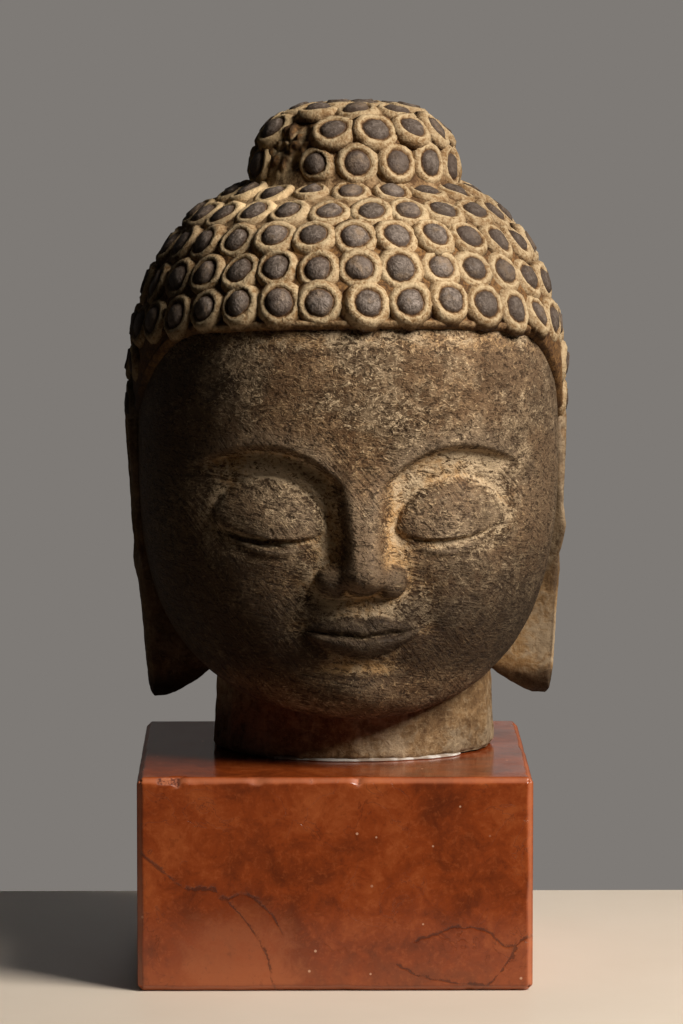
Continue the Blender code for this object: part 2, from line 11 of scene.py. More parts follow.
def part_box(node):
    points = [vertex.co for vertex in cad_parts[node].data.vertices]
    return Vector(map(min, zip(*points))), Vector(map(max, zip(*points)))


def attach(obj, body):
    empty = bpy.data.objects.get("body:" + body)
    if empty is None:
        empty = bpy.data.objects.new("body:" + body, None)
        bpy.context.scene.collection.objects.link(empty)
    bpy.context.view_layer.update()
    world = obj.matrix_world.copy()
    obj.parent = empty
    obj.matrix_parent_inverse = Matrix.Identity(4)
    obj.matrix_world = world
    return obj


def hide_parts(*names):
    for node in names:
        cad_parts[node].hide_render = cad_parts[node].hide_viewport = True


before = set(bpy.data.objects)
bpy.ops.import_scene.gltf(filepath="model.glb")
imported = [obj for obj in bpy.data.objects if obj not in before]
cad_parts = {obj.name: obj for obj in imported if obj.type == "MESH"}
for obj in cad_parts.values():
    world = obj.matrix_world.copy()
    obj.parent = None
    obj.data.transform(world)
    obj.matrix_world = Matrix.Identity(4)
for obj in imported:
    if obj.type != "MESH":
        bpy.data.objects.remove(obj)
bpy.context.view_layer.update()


# ---- Plinth ----
# A block of red marble, sawn square and polished. Its arrises are taken off with a narrow
# chamfer, which is a little uneven and has chipped along the top at the front. Dark veins
# run through the stone, with paler clouds between them.

block_low, block_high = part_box("marble_plinth")
block_middle = (block_low + block_high) / 2
block_half = (block_high - block_low) / 2

CHAMFER = 0.0016
CHAMFER_UNEVENNESS = 0.22
CHAMFER_SWELL = 0.009
NICK_DEPTH = 0.0016
NICK_SIZE = 0.0042
NICK_RARITY = 0.42
ARRIS_SOFTNESS = 0.00016
ARRIS_REACH = 0.003
ARRIS_CUTS = (0.0, 0.0004, 0.0008, 0.0012, 0.0016, 0.0020, 0.0025, 0.0032)
FACE_CUT = 0.0016
# Chips on the front top arris: place across, half length, depth
FRONT_CHIPS = (
    (-0.0466, 0.0036, 0.0006),
    (-0.0431, 0.0009, 0.0013),
    (0.0058, 0.0009, 0.0018),
    (-0.0060, 0.0006, 0.0006),
)
CHIP_GRAIN = 0.0011


def swell(points, size, seed):
    """Smooth unevenness from -1 to 1 over an array of points, in swells of about the given size."""
    shift = Vector((17.3, 5.1, 9.7)) * seed
    flat = np.asarray(points).reshape(-1, 3)
    found = [noise.noise(Vector(point) / size + shift) for point in flat]
    return np.array(found).reshape(np.shape(points)[:-1])


def skin(body, rows, ring=False):
    """Faces between rows of points. As a ring, each row closes on itself."""
    laid = [[body.verts.new(point) for point in row] for row in rows]
    count = len(laid[0])
    for near, far in zip(laid, laid[1:]):
        for i in range(count if ring else count - 1):
            j = (i + 1) % count
            body.faces.new((near[i], near[j], far[j], far[i]))
    return laid


def mesh_of(name, body, **measures):
    """Turns a bmesh into a mesh, with measures kept as attributes of its points."""
    mesh = bpy.data.meshes.new(name)
    body.to_mesh(mesh)
    body.free()
    for measure, values in measures.items():
        mesh.attributes.new(measure, "FLOAT", "POINT").data.foreach_set("value", np.ravel(values))
    return mesh


def link(name, data):
    """Adds an object to the scene."""
    made = bpy.data.objects.new(name, data)
    bpy.context.scene.collection.objects.link(made)
    return made


def add_piece(mesh, slot="head_stone", node="stone_head"):
    """Adds a mesh as a piece fixed to the body, and hides the solid that it stands for. The slot is not
    used.
    """
    piece = link(mesh.name, mesh)
    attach(piece, "root")
    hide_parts(node)


def finish_piece(name, body, material, *slot_and_node, smooth=60, **measures):
    """Adds a piece made of a bmesh. Its edges are smooth up to that angle in degrees."""
    mesh = mesh_of(name, body, **measures)
    mesh.shade_smooth()
    mesh.set_sharp_from_angle(angle=math.radians(smooth))
    mesh.materials.append(material)
    add_piece(mesh, *slot_and_node)


def block_cuts(half):
    """Places of the grid lines across one side of the block, close together at its arrises."""
    edge = np.array(ARRIS_CUTS)
    inner = half - edge[-1]
    middle = np.linspace(-inner, inner, round(2 * inner / FACE_CUT))
    return np.concatenate((edge[:-1] - half, middle, half - edge[:-1][::-1]))


def block_mesh():
    """A gridded block with worn chamfers, and how much each point was cut back or chipped."""
    body = bmesh.new()
    for axis in range(3):
        across, along = [i for i in range(3) if i != axis]
        sides = np.meshgrid(block_cuts(block_half[across]), block_cuts(block_half[along]), indexing="ij")
        for side in (-1, 1):
            grid = np.full((*sides[0].shape, 3), side * block_half[axis])
            grid[..., across], grid[..., along] = sides
            skin(body, grid)
    bmesh.ops.remove_doubles(body, verts=body.verts, dist=1e-6)
    bmesh.ops.recalc_face_normals(body, faces=body.faces)
    body.verts.index_update()
    start = np.array([vert.co for vert in body.verts])
    points = start.copy()
    half = np.array(block_half)
    side = np.sign(start)
    front_top = (start[:, 1] < 0) & (start[:, 2] > 0)
    arris = np.zeros(len(start))
    chipped = arris.copy()
    for pair in ([0, 1], [1, 2], [0, 2]):
        on_edge = start.copy()
        on_edge[:, pair] = side[:, pair] * half[pair]
        cut = CHAMFER * (1 + CHAMFER_UNEVENNESS * swell(on_edge, CHAMFER_SWELL, 1))
        cut += NICK_DEPTH * np.clip(swell(on_edge, NICK_SIZE, 2) - NICK_RARITY, 0, 1)
        chips = np.zeros(len(start))
        for place, reach, depth in FRONT_CHIPS if pair == [1, 2] else ():
            bite = np.clip(1 - ((start[:, 0] - place) / reach) ** 2, 0, 1)
            ragged = 1 + 0.5 * swell(on_edge, CHIP_GRAIN, 3)
            cut += front_top * depth * np.sqrt(bite) * ragged
            chips = np.maximum(chips, front_top * bite)
        excess = (np.abs(start) - half)[:, pair].sum(axis=1) + cut
        taken = (excess + np.sqrt(excess**2 + ARRIS_SOFTNESS**2)) / 2
        taken = np.where(excess > -ARRIS_REACH, taken, 0.0)
        points[:, pair] -= side[:, pair] * taken[:, None] / 2
        cut_back = np.clip(excess / CHAMFER, 0, 1) ** 0.5
        arris = np.maximum(arris, cut_back)
        chipped = np.maximum(chipped, chips * cut_back)
    for vert, point in zip(body.verts, points + np.array(block_middle)):
        vert.co = point
    return body, arris, chipped


class Term:
    """A socket of a node, used in sums as a number is."""

    def __init__(self, graph, socket):
        self.graph = graph
        self.socket = socket

    def math(self, operation, *terms):
        return self.graph.node("ShaderNodeMath", dict(enumerate(terms)), operation=operation)

    def __abs__(self):
        return self.math("ABSOLUTE", self)


for sign, operation in (("add", "ADD"), ("sub", "SUBTRACT"), ("mul", "MULTIPLY"), ("truediv", "DIVIDE")):
    setattr(Term, f"__{sign}__", lambda self, other, way=operation: self.math(way, self, other))
    setattr(Term, f"__r{sign}__", lambda self, other, way=operation: self.math(way, other, self))


class Graph:
    """A tree of nodes, each added with its sockets and settings in one call."""

    def __init__(self, tree):
        self.tree = tree

    def feed(self, node, sockets):
        """Sets or links sockets of a node."""
        for key, value in sockets.items():
            if isinstance(value, Term):
                self.tree.links.new(value.socket, node.inputs[key])
            else:
                node.inputs[key].default_value = value

    def node(self, kind, sockets, output=0, **settings):
        """A node with its settings made first, then its sockets. Gives back one output."""
        made = self.tree.nodes.new(kind)
        for key, value in settings.items():
            setattr(made, key, value)
        self.feed(made, sockets)
        return Term(self, made.outputs[output])

    def blend(self, share, first, second):
        """The first colour where the share is 0, the second where it is 1."""
        return self.node("ShaderNodeMix", {0: share, 6: first, 7: second}, 2, data_type="RGBA")


class Finish(Graph):
    """A material in the making: one Principled surface and the nodes that feed it."""

    def __init__(self, name):
        self.material = bpy.data.materials.new(name)
        self.material.use_nodes = True
        super().__init__(self.material.node_tree)
        place = self.node("ShaderNodeTexCoord", {}, "Object")
        self.place = self.mapped(place, Scale=(1000.0, 1000.0, 1000.0))

    def measure(self, name):
        return self.node("ShaderNodeAttribute", {}, "Fac", attribute_name=name)

    def mapped(self, place, **sockets):
        """The place moved, turned or scaled."""
        return self.node("ShaderNodeMapping", {"Vector": place, **sockets})

    def axes(self):
        """Distances across, back and up, in millimetres."""
        return [self.node("ShaderNodeSeparateXYZ", {0: self.place}, axis) for axis in "XYZ"]

    def cloud(self, size, detail=3.0, roughness=0.55, distortion=0.0, place=None):
        """Noise from 0 to 1 whose largest swells are about the given size in millimetres."""
        sockets = {"Scale": 1 / size, "Detail": detail, "Roughness": roughness, "Distortion": distortion}
        return self.node("ShaderNodeTexNoise", {"Vector": place or self.place, **sockets}, "Fac")

    def rise(self, value, start, end):
        """0 before start and 1 past end, smoothly, also where start is the larger."""
        sockets = {"Value": value, "From Min": start, "From Max": end}
        return self.node("ShaderNodeMapRange", sockets, interpolation_type="SMOOTHSTEP")

    def shade_and_smoke(self, middle):
        """Painted shade with some old smoke and handling smut on the carving: darker at its sides as
        they turn from the lamp, most on the left, under its jaw, and on its crown.

        Middle is how far across the clean, lit part of its front lies, in millimetres.
        """
        rise = self.rise
        across, _, up = self.axes()
        drift = (self.cloud(20, 4, 0.6) - 0.5) * 22
        # Painted shade on the sides as they turn from the lamp.
        side = rise(abs(across - middle) + drift, 24.0, 60.0)
        side = side * (1 - rise(across + drift * 0.3, 42.0, 54.0) * 0.40)
        # Painted shade under the jaw, less on the neck.
        low = rise(up + drift, 135.0, 98.0) * (rise(up, 82.0, 90.0) * 0.6 + 0.4)
        high = rise(up + drift, 200.0, 240.0) * 0.3 * rise(across + drift, -28.0, 0.0)
        return 1 - (1 - side * 0.85) * (1 - low * 0.95) * (1 - high * 1.4)

    def bump(self, height, depth):
        """A normal bent by a height from 0 to 1, depth metres deep."""
        return self.node("ShaderNodeBump", {"Height": height, "Strength": 1.0, "Distance": depth})

    def done(self, **sockets):
        """The material, with sockets of its surface set or linked, named with _ for a space."""
        surface = self.tree.nodes["Principled BSDF"]
        self.feed(surface, {key.replace("_", " "): value for key, value in sockets.items()})
        return self.material


def tint(red, green, blue):
    """A colour as the eye reads it, from 0 to 255, turned into linear light."""
    light = [((v / 255 + 0.055) / 1.055) ** 2.4 if v > 10 else v / 3295 for v in (red, green, blue)]
    return (*light, 1.0)


# Veins of the block on its front: points across and up, in millimetres
LEFT_VEIN = ((-54, 39), (-48, 34), (-41, 29), (-34, 28.6), (-31, 26), (-26, 27.6), (-20, 24), (-15, 17))
RIGHT_VEIN = ((22, 14), (28, 16), (34, 18), (40, 17.6), (45, 14.6), (48, 12.6), (52, 14.5), (56, 16))
LOW_VEIN = ((17, 7.5), (22, 5.0), (28, 3.2), (35, 2.2), (42, 1.6))
# Veins that fall down the front: points up and across
LEFT_BRANCH = ((0, -16.5), (5, -18.0), (10, -19.2), (15, -21.6), (20, -25.0), (25, -29.5))
RIGHT_BRANCH = ((0, 40.0), (3, 43.8), (7, 47.2), (11, 49.5), (15, 50.4))
SPECK_PITCH = 5.5


def vein(finish, run, aside, points, width, wander):
    """A thin dark sheet through the block that follows points of (run, aside) on the front."""
    rise = finish.rise
    places = np.array(points, dtype=float)
    low = places.min(axis=0) - (0.0, 1.0)
    size = places.max(axis=0) + (0.0, 1.0) - low
    along = (run - low[0]) / size[0]
    line = finish.node("ShaderNodeFloatCurve", {"Factor": 1.0, "Value": along})
    mapping = line.socket.node.mapping
    curve = mapping.curves[0].points
    for _ in places[2:]:
        curve.new(0.5, 0.5)
    for point, place in zip(curve, (places - low) / size):
        point.location = place
    mapping.update()
    off = abs(aside - line * size[1] - low[1] + (wander - 0.5) * 3.2)
    inside = rise(along, -0.02, 0.03) * rise(along, 1.04, 0.96)
    halo = rise(off, width * 4.5, 0.0) * rise(wander, 0.62, 0.38) * 0.38
    return (rise(off + (wander - 0.5) * 0.8, width, 0.0) + halo) * inside


def red_marble():
    """Polished red marble with dark veins, paler clouds, small pale specks and dull chamfers, and a painted
    reflection of the table along its foot.
    """
    finish = Finish("red marble")
    cloud, rise, blend = finish.cloud, finish.rise, finish.blend
    across, back, up = finish.axes()
    arris = finish.measure("arris")
    chip = rise(finish.measure("chip"), 0.15, 0.55)
    broad = cloud(34, 3, 0.55, 0.6)
    mottle = cloud(8, 5, 0.64, 0.8)
    crumbs = cloud(2.0, 3, 0.65, 0.5)
    grain = cloud(0.8, 3, 0.7)
    clouds = broad * 0.46 + mottle * 0.46 + crumbs * 0.08
    colour = finish.node("ShaderNodeValToRGB", {"Fac": clouds}, "Color")
    stops = ((0.32, (78, 31, 11)), (0.43, (104, 43, 15)), (0.53, (126, 54, 19)), (0.68, (148, 74, 34)))
    ramp = colour.socket.node.color_ramp.elements
    for _ in stops[2:]:
        ramp.new(0.5)
    for stop, (position, shade) in zip(ramp, stops):
        stop.position = position
        stop.color = tint(*shade)
    patch_across = (across + 27.0) / 17.0
    patch_up = (up - 6.0) / 16.0
    patch = patch_across * patch_across + patch_up * patch_up + (mottle - 0.5) * 3.2
    # A pale band along the foot of the block is a painted reflection of the table, laid with the paler
    # clouds.
    floor_reflection_band = rise(up + (mottle - 0.5) * 14, 12.0, 2.0)
    pale = rise(patch + (crumbs - 0.5) * 1.6, 1.6, 0.2) * 0.6 + floor_reflection_band * 0.30
    colour = blend(pale * 0.8, colour, tint(166, 90, 50))
    colour = blend(rise(crumbs + (grain - 0.5) * 0.6, 0.52, 0.72) * 0.20, colour, tint(164, 88, 46))
    colour = blend(rise(crumbs + (grain - 0.5) * 0.5, 0.42, 0.28) * 0.24, colour, tint(76, 30, 11))
    bend = (cloud(46, 3, 0.5) - 0.5) * ((back - 1000.0 * block_low.y) / 110.0) * 70
    wander = cloud(3.0, 5, 0.75)
    broken = rise(cloud(3.6, 4, 0.6), 0.36, 0.56) * 0.75 + 0.25
    veins = 0.0
    for run, aside, points, width in (
        (across, up, LEFT_VEIN, 1.00),
        (across, up, RIGHT_VEIN, 0.60),
        (across, up, LOW_VEIN, 0.50),
        (up, across, LEFT_BRANCH, 0.45),
        (up, across, RIGHT_BRANCH, 0.65),
    ):
        veins = veins + vein(finish, run, aside + bend, points, width, wander)
    threads = rise(abs(cloud(17, 4, 0.55, 1.2) - 0.5), 0.010, 0.0) * rise(broad, 0.44, 0.60)
    dark = rise(veins * broken + threads * 0.5, 0.0, 1.0)
    colour = blend(dark * 0.62, colour, tint(46, 17, 8))
    cells = {"Vector": finish.place, "Scale": 1 / SPECK_PITCH}
    speck = rise(finish.node("ShaderNodeTexVoronoi", cells, "Distance"), 0.085, 0.050)
    cell = {"Vector": finish.node("ShaderNodeTexVoronoi", cells, "Position")}
    chosen = rise(finish.node("ShaderNodeTexWhiteNoise", cell, "Value"), 0.70, 0.72)
    colour = blend(speck * chosen * 0.6, colour, tint(214, 170, 136))
    colour = blend(arris * 0.38, colour, tint(196, 120, 82))
    torn = blend(rise(grain * 0.6 + crumbs * 0.4, 0.44, 0.58), tint(70, 28, 13), tint(168, 98, 64))
    colour = blend(chip * 0.85, colour, torn)
    smear = cloud(14, 4, 0.6)
    rough = rise(smear, 0.3, 0.8) * 0.10 + 0.13 + arris * 0.22 + dark * 0.12 + chip * 0.7
    normal = finish.bump(grain * 0.15 + crumbs * 0.2 + dark * -0.8 + smear * 0.4, 0.00006)
    return finish.done(Base_Color=colour, Roughness=rough, IOR=1.5, Specular_IOR_Level=0.5, Normal=normal)


block_body, block_arris, block_chip = block_mesh()
finish_piece(
    "plinth_block", block_body, red_marble(), "plinth_marble", "marble_plinth", smooth=50,
    arris=block_arris, chip=block_chip,
)


# ---- Bedding ----
# A thin layer of white mortar between the polished block and the stone. It was pressed out
# unevenly round the foot of the neck, and wiped off most of the way round.

HEAD_AXIS = block_middle + Vector((0.004, 0.008, 0.0))
HEAD_TURN = math.radians(3.5)
NECK_SET = (0.002, 0.003)
NECK_RADIUS = 0.0408
NECK_DEPTH_RATIO = 0.915
BED_SIDES = 240
# From the block's top up: how far out past the neck, and share of the layer's height
BED_PROFILE = ((-0.006, 0.0), (0.0002, 0.0), (0.0004, 0.12), (0.0001, 0.32), (-0.0012, 0.44), (-0.006, 0.6))
BED_LAP = 0.0002
BED_MIDDLE = 0.05
BED_WIPED = 0.0036
BED_WIPED_FROM = (0.62, 0.92)
BED_RIGHT_SQUEEZE = 0.0005

bed_foot = block_high.z
bed_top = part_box("stone_head")[0].z


def ease(start, end, value):
    """Rises smoothly from 0 at start to 1 at end."""
    share = np.clip((value - start) / (end - start), 0, 1)
    return share * share * (3 - 2 * share)


def place_on_block(points):
    """Turns points from the head's own frame, and moves them to its place on the block."""
    turn = np.array(Matrix.Rotation(HEAD_TURN, 3, "Z"))
    return points @ turn.T + np.array((HEAD_AXIS.x, HEAD_AXIS.y, 0.0))


def circle(count, level=0.0, radius=1.0):
    """Angles round from the front, and the points of a level circle at them."""
    angles = np.arange(count) / count * math.tau
    points = np.stack((np.sin(angles), -np.cos(angles), np.full(count, level / radius)), axis=-1)
    return angles, points * radius


def neck_ring(radius, angles, level):
    """A level oval ring of points about the neck's middle, in its place on the block."""
    across = NECK_SET[0] + radius * np.sin(angles)
    depth = NECK_SET[1] - radius * np.cos(angles) * NECK_DEPTH_RATIO
    return place_on_block(np.stack((across, depth, np.full(len(angles), level)), axis=-1))


def loft(grid):
    """Skins a grid of closed rings, and closes both ends."""
    body = bmesh.new()
    laid = skin(body, grid, ring=True)
    body.faces.new(laid[0])
    body.faces.new(laid[-1])
    bmesh.ops.recalc_face_normals(body, faces=body.faces)
    return body


def bedding_mesh():
    """A thin oval layer whose edge was pressed out unevenly, and wiped off away from the front."""
    angles, around = circle(BED_SIDES, radius=NECK_RADIUS)
    squeezed = 0.0004 * swell(around, 0.009, 4) + 0.0003 * swell(around, 0.003, 5) - 0.0001
    squeezed += BED_RIGHT_SQUEEZE * ease(0.40, 0.55, angles) * (1 - ease(0.75, 0.90, angles))
    from_middle = np.abs((angles - BED_MIDDLE + math.pi) % math.tau - math.pi)
    wiped = BED_WIPED * ease(*BED_WIPED_FROM, from_middle)
    rings = []
    for out, share in BED_PROFILE:
        radius = NECK_RADIUS + out + squeezed * (out > 0) - wiped - BED_LAP
        rings.append(neck_ring(radius, angles, bed_foot + (bed_top - bed_foot + BED_LAP) * share))
    return loft(rings)


def white_mortar():
    """Chalky lime mortar, a little stained."""
    finish = Finish("white mortar")
    crumbs = finish.cloud(0.7, 5, 0.75)
    stains = finish.rise(finish.cloud(4, 3), 0.42, 0.62)
    colour = finish.blend(stains * 0.75, tint(188, 178, 168), tint(116, 92, 70))
    return finish.done(Base_Color=colour, Roughness=0.9, Normal=finish.bump(crumbs, 0.0002))


finish_piece("mortar_bed", bedding_mesh(), white_mortar(), "bedding", "bedding_mortar")


# ---- Neck ----
# The short cut neck of the carving, the same brown stone as the head. It was dressed with
# a flat chisel in upright strokes, and its foot is sawn off and a little broken.

NECK_TOP = 0.098
NECK_TOP_RADIUS = 0.0385
NECK_SIDES = 420
NECK_ROWS = 90
NECK_FACETS = 17
FACET_DEPTH = 0.0006
FOOT_WEAR = 0.0007
FOOT_SINK = 0.0013
FOOT_WEAR_HEIGHT = 0.0016
NECK_TRIM = 0.0003


def neck_mesh():
    """An oval column in shallow upright facets, with a worn lower edge."""
    foot = bed_top - FOOT_SINK
    rings = []
    for share in np.linspace(0.0, 1.0, NECK_ROWS) ** 1.25:
        level = foot + (NECK_TOP - foot) * share
        radius = NECK_RADIUS + (NECK_TOP_RADIUS - NECK_RADIUS) * share
        angles, around = circle(NECK_SIDES, level / 4, radius)
        facets = np.abs(np.sin((angles * NECK_FACETS + 2.4 * swell(around, 0.020, 6)) / 2)) - 0.6
        rough = 0.00022 * swell(around * (1, 1, 2), 0.0016, 7) + 0.0004 * swell(around, 0.006, 8)
        worn = FOOT_WEAR * (1 - ease(0.0, FOOT_WEAR_HEIGHT, level - foot)) ** 2
        broken = worn * (1 + 1.2 * swell(around, 0.004, 9))
        rings.append(neck_ring(radius - FACET_DEPTH * facets + rough - broken - NECK_TRIM, angles, level))
    return loft(rings)


def old_stone(
    name, tan=0.5, rubbed=0.5, grit=1.0, smut_and_shade=1.0, unshaded_middle=7.0, strokes=1.0,
    stroke_size=(0.55, 5.0, 9.0), leans=(38.0, 80.0), depth=0.00056,
):
    """Fine brown stone with a dark rubbed skin and tan earth in its pores and hollows.

    Tan is how much of the pale earth shows, rubbed how much of the dark skin, and soiled how
    much painted shade and smut lie on its sides and under its jaw, round a clean, lit middle.
    Grit is how rough the broken grains stand. Strokes is how strong the marks of the rasp are,
    each of the stroke size and at a lean in degrees from upright. Depth is that of all the
    relief, in metres.
    """
    finish = Finish(name)
    cloud, rise, blend, mapped = finish.cloud, finish.rise, finish.blend, finish.mapped
    place = finish.place
    hollow = finish.measure("hollow")
    ridge = finish.measure("ridge")
    broad = cloud(24, 3, 0.55, 0.4)
    patches = cloud(6.5, 4, 0.60, 0.8)
    mottle = cloud(2.3, 3, 0.60, 0.6)
    grain = cloud(0.85, 3, 0.65)
    flat = mapped(place, Scale=(0.75, 0.75, 1.3))
    web = abs(cloud(3.4, 2, 0.50, 1.6, flat) - 0.5)
    fine_web = abs(cloud(1.9, 1, 0.50, 1.2, flat) - 0.5)
    web = rise(web, 0.045, 0.0) * 0.7 + rise(fine_web, 0.060, 0.0) * 0.5
    pits = rise(cloud(1.7, 3, 0.55, 0.9, flat), 0.49, 0.36)
    strokes = strokes * (rise(finish.axes()[2], 166.0, 138.0) * 0.75 + 0.25)
    field = rise(cloud(11, 3, 0.5), 0.40, 0.60)
    marks = []
    brushed = []
    for side, lean in enumerate(leans):
        turn = (0.0, math.radians(lean), 0.0)
        laid = mapped(place, Location=(7.0 * side, 0.0, 3.0 * side), Rotation=turn)
        laid = mapped(laid, Scale=[1 / size for size in stroke_size])
        lines = cloud(1.0, 1.5, 0.5, 0.0, laid)
        share = 1 - field if side else field
        marks.append(rise(abs(lines - 0.58), 0.030, 0.0) * share)
        brushed.append((lines - 0.5) * share)
    stroke = (marks[0] + marks[1]) * rise(cloud(5.0, 2, 0.5, 0.5), 0.46, 0.60)
    brushed = (brushed[0] + brushed[1]) * strokes
    speckle = ((grain - 0.5) * 1.2 + web * 0.9 - pits * 0.8) * grit + (mottle - 0.5) * 1.4 + brushed * 1.7
    streaks = cloud(1.0, 4, 0.65, 0.6, mapped(place, Scale=(0.06, 0.06, 0.75))) - 0.5
    blotch = (patches - 0.5) * 1.2 + (broad - 0.5) * 1.7 + streaks * 1.5 * (1 - tan)
    lie = hollow * 1.4 - ridge * 0.60 * rubbed
    earth = rise(speckle * (1.3 - tan * 0.75) + blotch + lie + (tan - 0.80) * 1.2, -0.45, 0.90)
    skin_colour = blend(rise(patches, 0.35, 0.68), tint(66, 48, 31), tint(128, 105, 79))
    ochre = rise(broad + (mottle - 0.5) * 0.4, 0.58, 0.40)
    skin_colour = blend(ochre * 0.5, skin_colour, tint(104, 72, 44))
    skin_colour = blend(ridge * rubbed * 0.7, skin_colour, tint(136, 115, 92))
    earth_colour = blend(ochre, tint(194, 168, 134), tint(182, 142, 94))
    earth_colour = blend(rise(speckle, 0.15, -0.75) * 0.6, earth_colour, tint(124, 91, 56))
    colour = blend(earth * 0.82, skin_colour, earth_colour)
    sooty = grain * 0.5 + mottle * 0.3 + brushed * 0.5 + 0.1 - pits * 0.07
    soot = rise(sooty, 0.48, 0.38) * (1.12 - tan)
    colour = blend(soot * (1.1 - hollow * 0.6), colour, tint(38, 24, 12))
    bright = rise(web + (grain - 0.5) * 0.8, 0.30, 0.95) * (earth * 0.5 + 0.30)
    colour = blend(bright * 0.52, colour, tint(206, 178, 138))
    colour = blend(stroke * strokes * 0.85, colour, tint(188, 160, 122))
    # Painted shade and some smut: darker on the sides and under the jaw, less in the earthy hollows.
    colour = blend(finish.shade_and_smoke(unshaded_middle) * (0.76 - hollow * 0.5) * smut_and_shade, colour, tint(30, 20, 12))
    rough = rise(grain, 0.3, 0.7) * 0.15 + 0.66 - ridge * 0.16
    relief = (grain * 0.5 + web * 0.2 - pits * 0.4) * grit + mottle * 0.7 + patches * 0.5
    normal = finish.bump(relief + brushed * 0.6 - stroke * strokes * 0.3, depth)
    return finish.done(Base_Color=colour, Roughness=rough, IOR=1.45, Specular_IOR_Level=0.12, Normal=normal)


neck_stone = old_stone(
    "neck stone", tan=1.0, rubbed=0.3, grit=0.15, smut_and_shade=0.65, unshaded_middle=-22.0, strokes=0.2,
    stroke_size=(0.6, 0.6, 9.0), leans=(2.0, -4.0),
)
finish_piece("neck", neck_mesh(), neck_stone)


# ---- Head and face ----
# The skull of the carving with the face worked into its front, rubbed smooth on what
# stands out and left rough in the hollows. The face is twelve units high from chin to
# hairline, four for each third.

HAIRLINE_HEIGHT = 0.184
UNIT = 0.0092
CHIN_HEIGHT = HAIRLINE_HEIGHT - 12 * UNIT

# Sections from under the jaw to under the crown: height, half width, front, back
SKULL = np.array((
    (0.0732, 0.0140, 0.0200, 0.0140),
    (0.0730, 0.0260, 0.0330, 0.0250),
    (0.0736, 0.0330, 0.0425, 0.0310),
    (0.0775, 0.0400, 0.0498, 0.0360),
    (0.0860, 0.0473, 0.0530, 0.0430),
    (0.0970, 0.0528, 0.0546, 0.0495),
    (0.1090, 0.0564, 0.0561, 0.0545),
    (0.1210, 0.0588, 0.0575, 0.0580),
    (0.1330, 0.0600, 0.0587, 0.0603),
    (0.1450, 0.0603, 0.0596, 0.0615),
    (0.1570, 0.0600, 0.0603, 0.0618),
    (0.1690, 0.0592, 0.0603, 0.0613),
    (0.1810, 0.0575, 0.0590, 0.0600),
    (0.1920, 0.0545, 0.0562, 0.0575),
    (0.2010, 0.0495, 0.0515, 0.0530),
    (0.2070, 0.0400, 0.0420, 0.0440),
))
JAW_RISE = 0.016
JAW_RISE_SECTIONS = (2, 7)
FULL_FRONT_SECTIONS = (2, 6)
FACE_EDGE = (0.25, 0.60)
FRONT_CROWDING = 0.31
FRONT_FULLNESS = 2.22
SKULL_ROWS = 300
SKULL_COLUMNS = 310

# Places on the face in units: across from the middle line, up from the chin. Those of the tip
# and the wing of the nose are followed by their reach.
BROW_PEAK = (2.9, 8.55)
BROW_FALL = (0.216, 0.139)
EYE_ACROSS = 2.75
EYE_HALF = 1.70
EYE_SLANT = 0.07
LASH_UP = 5.98
LASH_DROOP = 0.28
OPENING = 0.30
LID_HEIGHT = 1.82
NOSE_UP = (3.85, 4.12, 4.42, 4.9, 5.6, 6.5, 7.5, 8.5)
NOSE_RIDGE = (0.0, 0.0066, 0.0108, 0.0112, 0.0087, 0.0056, 0.0024, 0.0)
NOSE_TIP = (0.0, 4.62, 0.80, 0.64)
NOSE_WING = (0.78, 4.44, 0.62, 0.56)
MOUTH_UP = 2.78
MOUTH_HALF = 1.85
LIP_CURL = 0.16
UPPER_LIP_HEIGHT = 0.66
LOWER_LIP_HEIGHT = 0.74

# How far those forms stand out or are cut in
SOCKET_DEPTH = 0.0046
LID_FULLNESS = 0.0040
OPENING_DEPTH = 0.0014
NOSE_TIP_FULLNESS = 0.0124
NOSE_WING_FULLNESS = 0.0066
JOINT_SOFTNESS = 0.0022
UPPER_LIP_FULLNESS = 0.0025
LOWER_LIP_FULLNESS = 0.0030
PARTING_DEPTH = 0.0015
LOWER_RIM_FULLNESS = 0.0006
CREASE_DEPTH = 0.0004
# Soft forms of the face: height, then middle across and up, and reach across and up
SOFT_FORMS = (
    (0.0034, 0.0, 0.95, 1.25, 0.75),  # chin
    (-0.0016, 0.0, 1.72, 1.4, 0.28),  # hollow under the lip
    (0.0032, 0.0, MOUTH_UP, 2.3, 1.5),  # base of the mouth
    (-0.0009, 1.98, 2.98, 0.42, 0.40),  # its corner
    (-0.0010, 1.95, 3.75, 0.45, 0.8),  # fold beside it
    (-0.0008, 0.0, 3.72, 0.26, 0.26),  # groove over the lip
    (-0.0016, 0.46, 4.10, 0.22, 0.16),  # nostril
    (0.0024, 3.4, 3.7, 1.7, 1.6),  # cheek
    (0.0012, EYE_ACROSS, 5.10, 1.8, 0.55),  # pouch under the eye
    (-0.0008, 5.4, 8.2, 1.0, 1.6),  # temple
)


def through(places, values, at):
    """Reads a smooth curve through the values, given at rising places."""
    slopes = np.gradient(values, places, axis=0)
    low = np.clip(np.searchsorted(places, at) - 1, 0, len(places) - 2)
    step = places[low + 1] - places[low]
    share = np.clip((at - places[low]) / step, 0, 1)
    if np.ndim(values) > 1:
        step = step[..., None]
        share = share[..., None]
    square = share**2
    cube = share**3
    return (
        values[low] * (2 * cube - 3 * square + 1)
        + slopes[low] * step * (cube - 2 * square + share)
        + values[low + 1] * (3 * square - 2 * cube)
        + slopes[low + 1] * step * (cube - square)
    )


def hump(value, middle, reach):
    """A soft rise of height 1 about the middle."""
    return np.exp(-(((value - middle) / reach) ** 2))


def mound(across, up, middle_across, middle_up, reach_across, reach_up):
    """A soft round rise of height 1."""
    return hump(across, middle_across, reach_across) * hump(up, middle_up, reach_up)


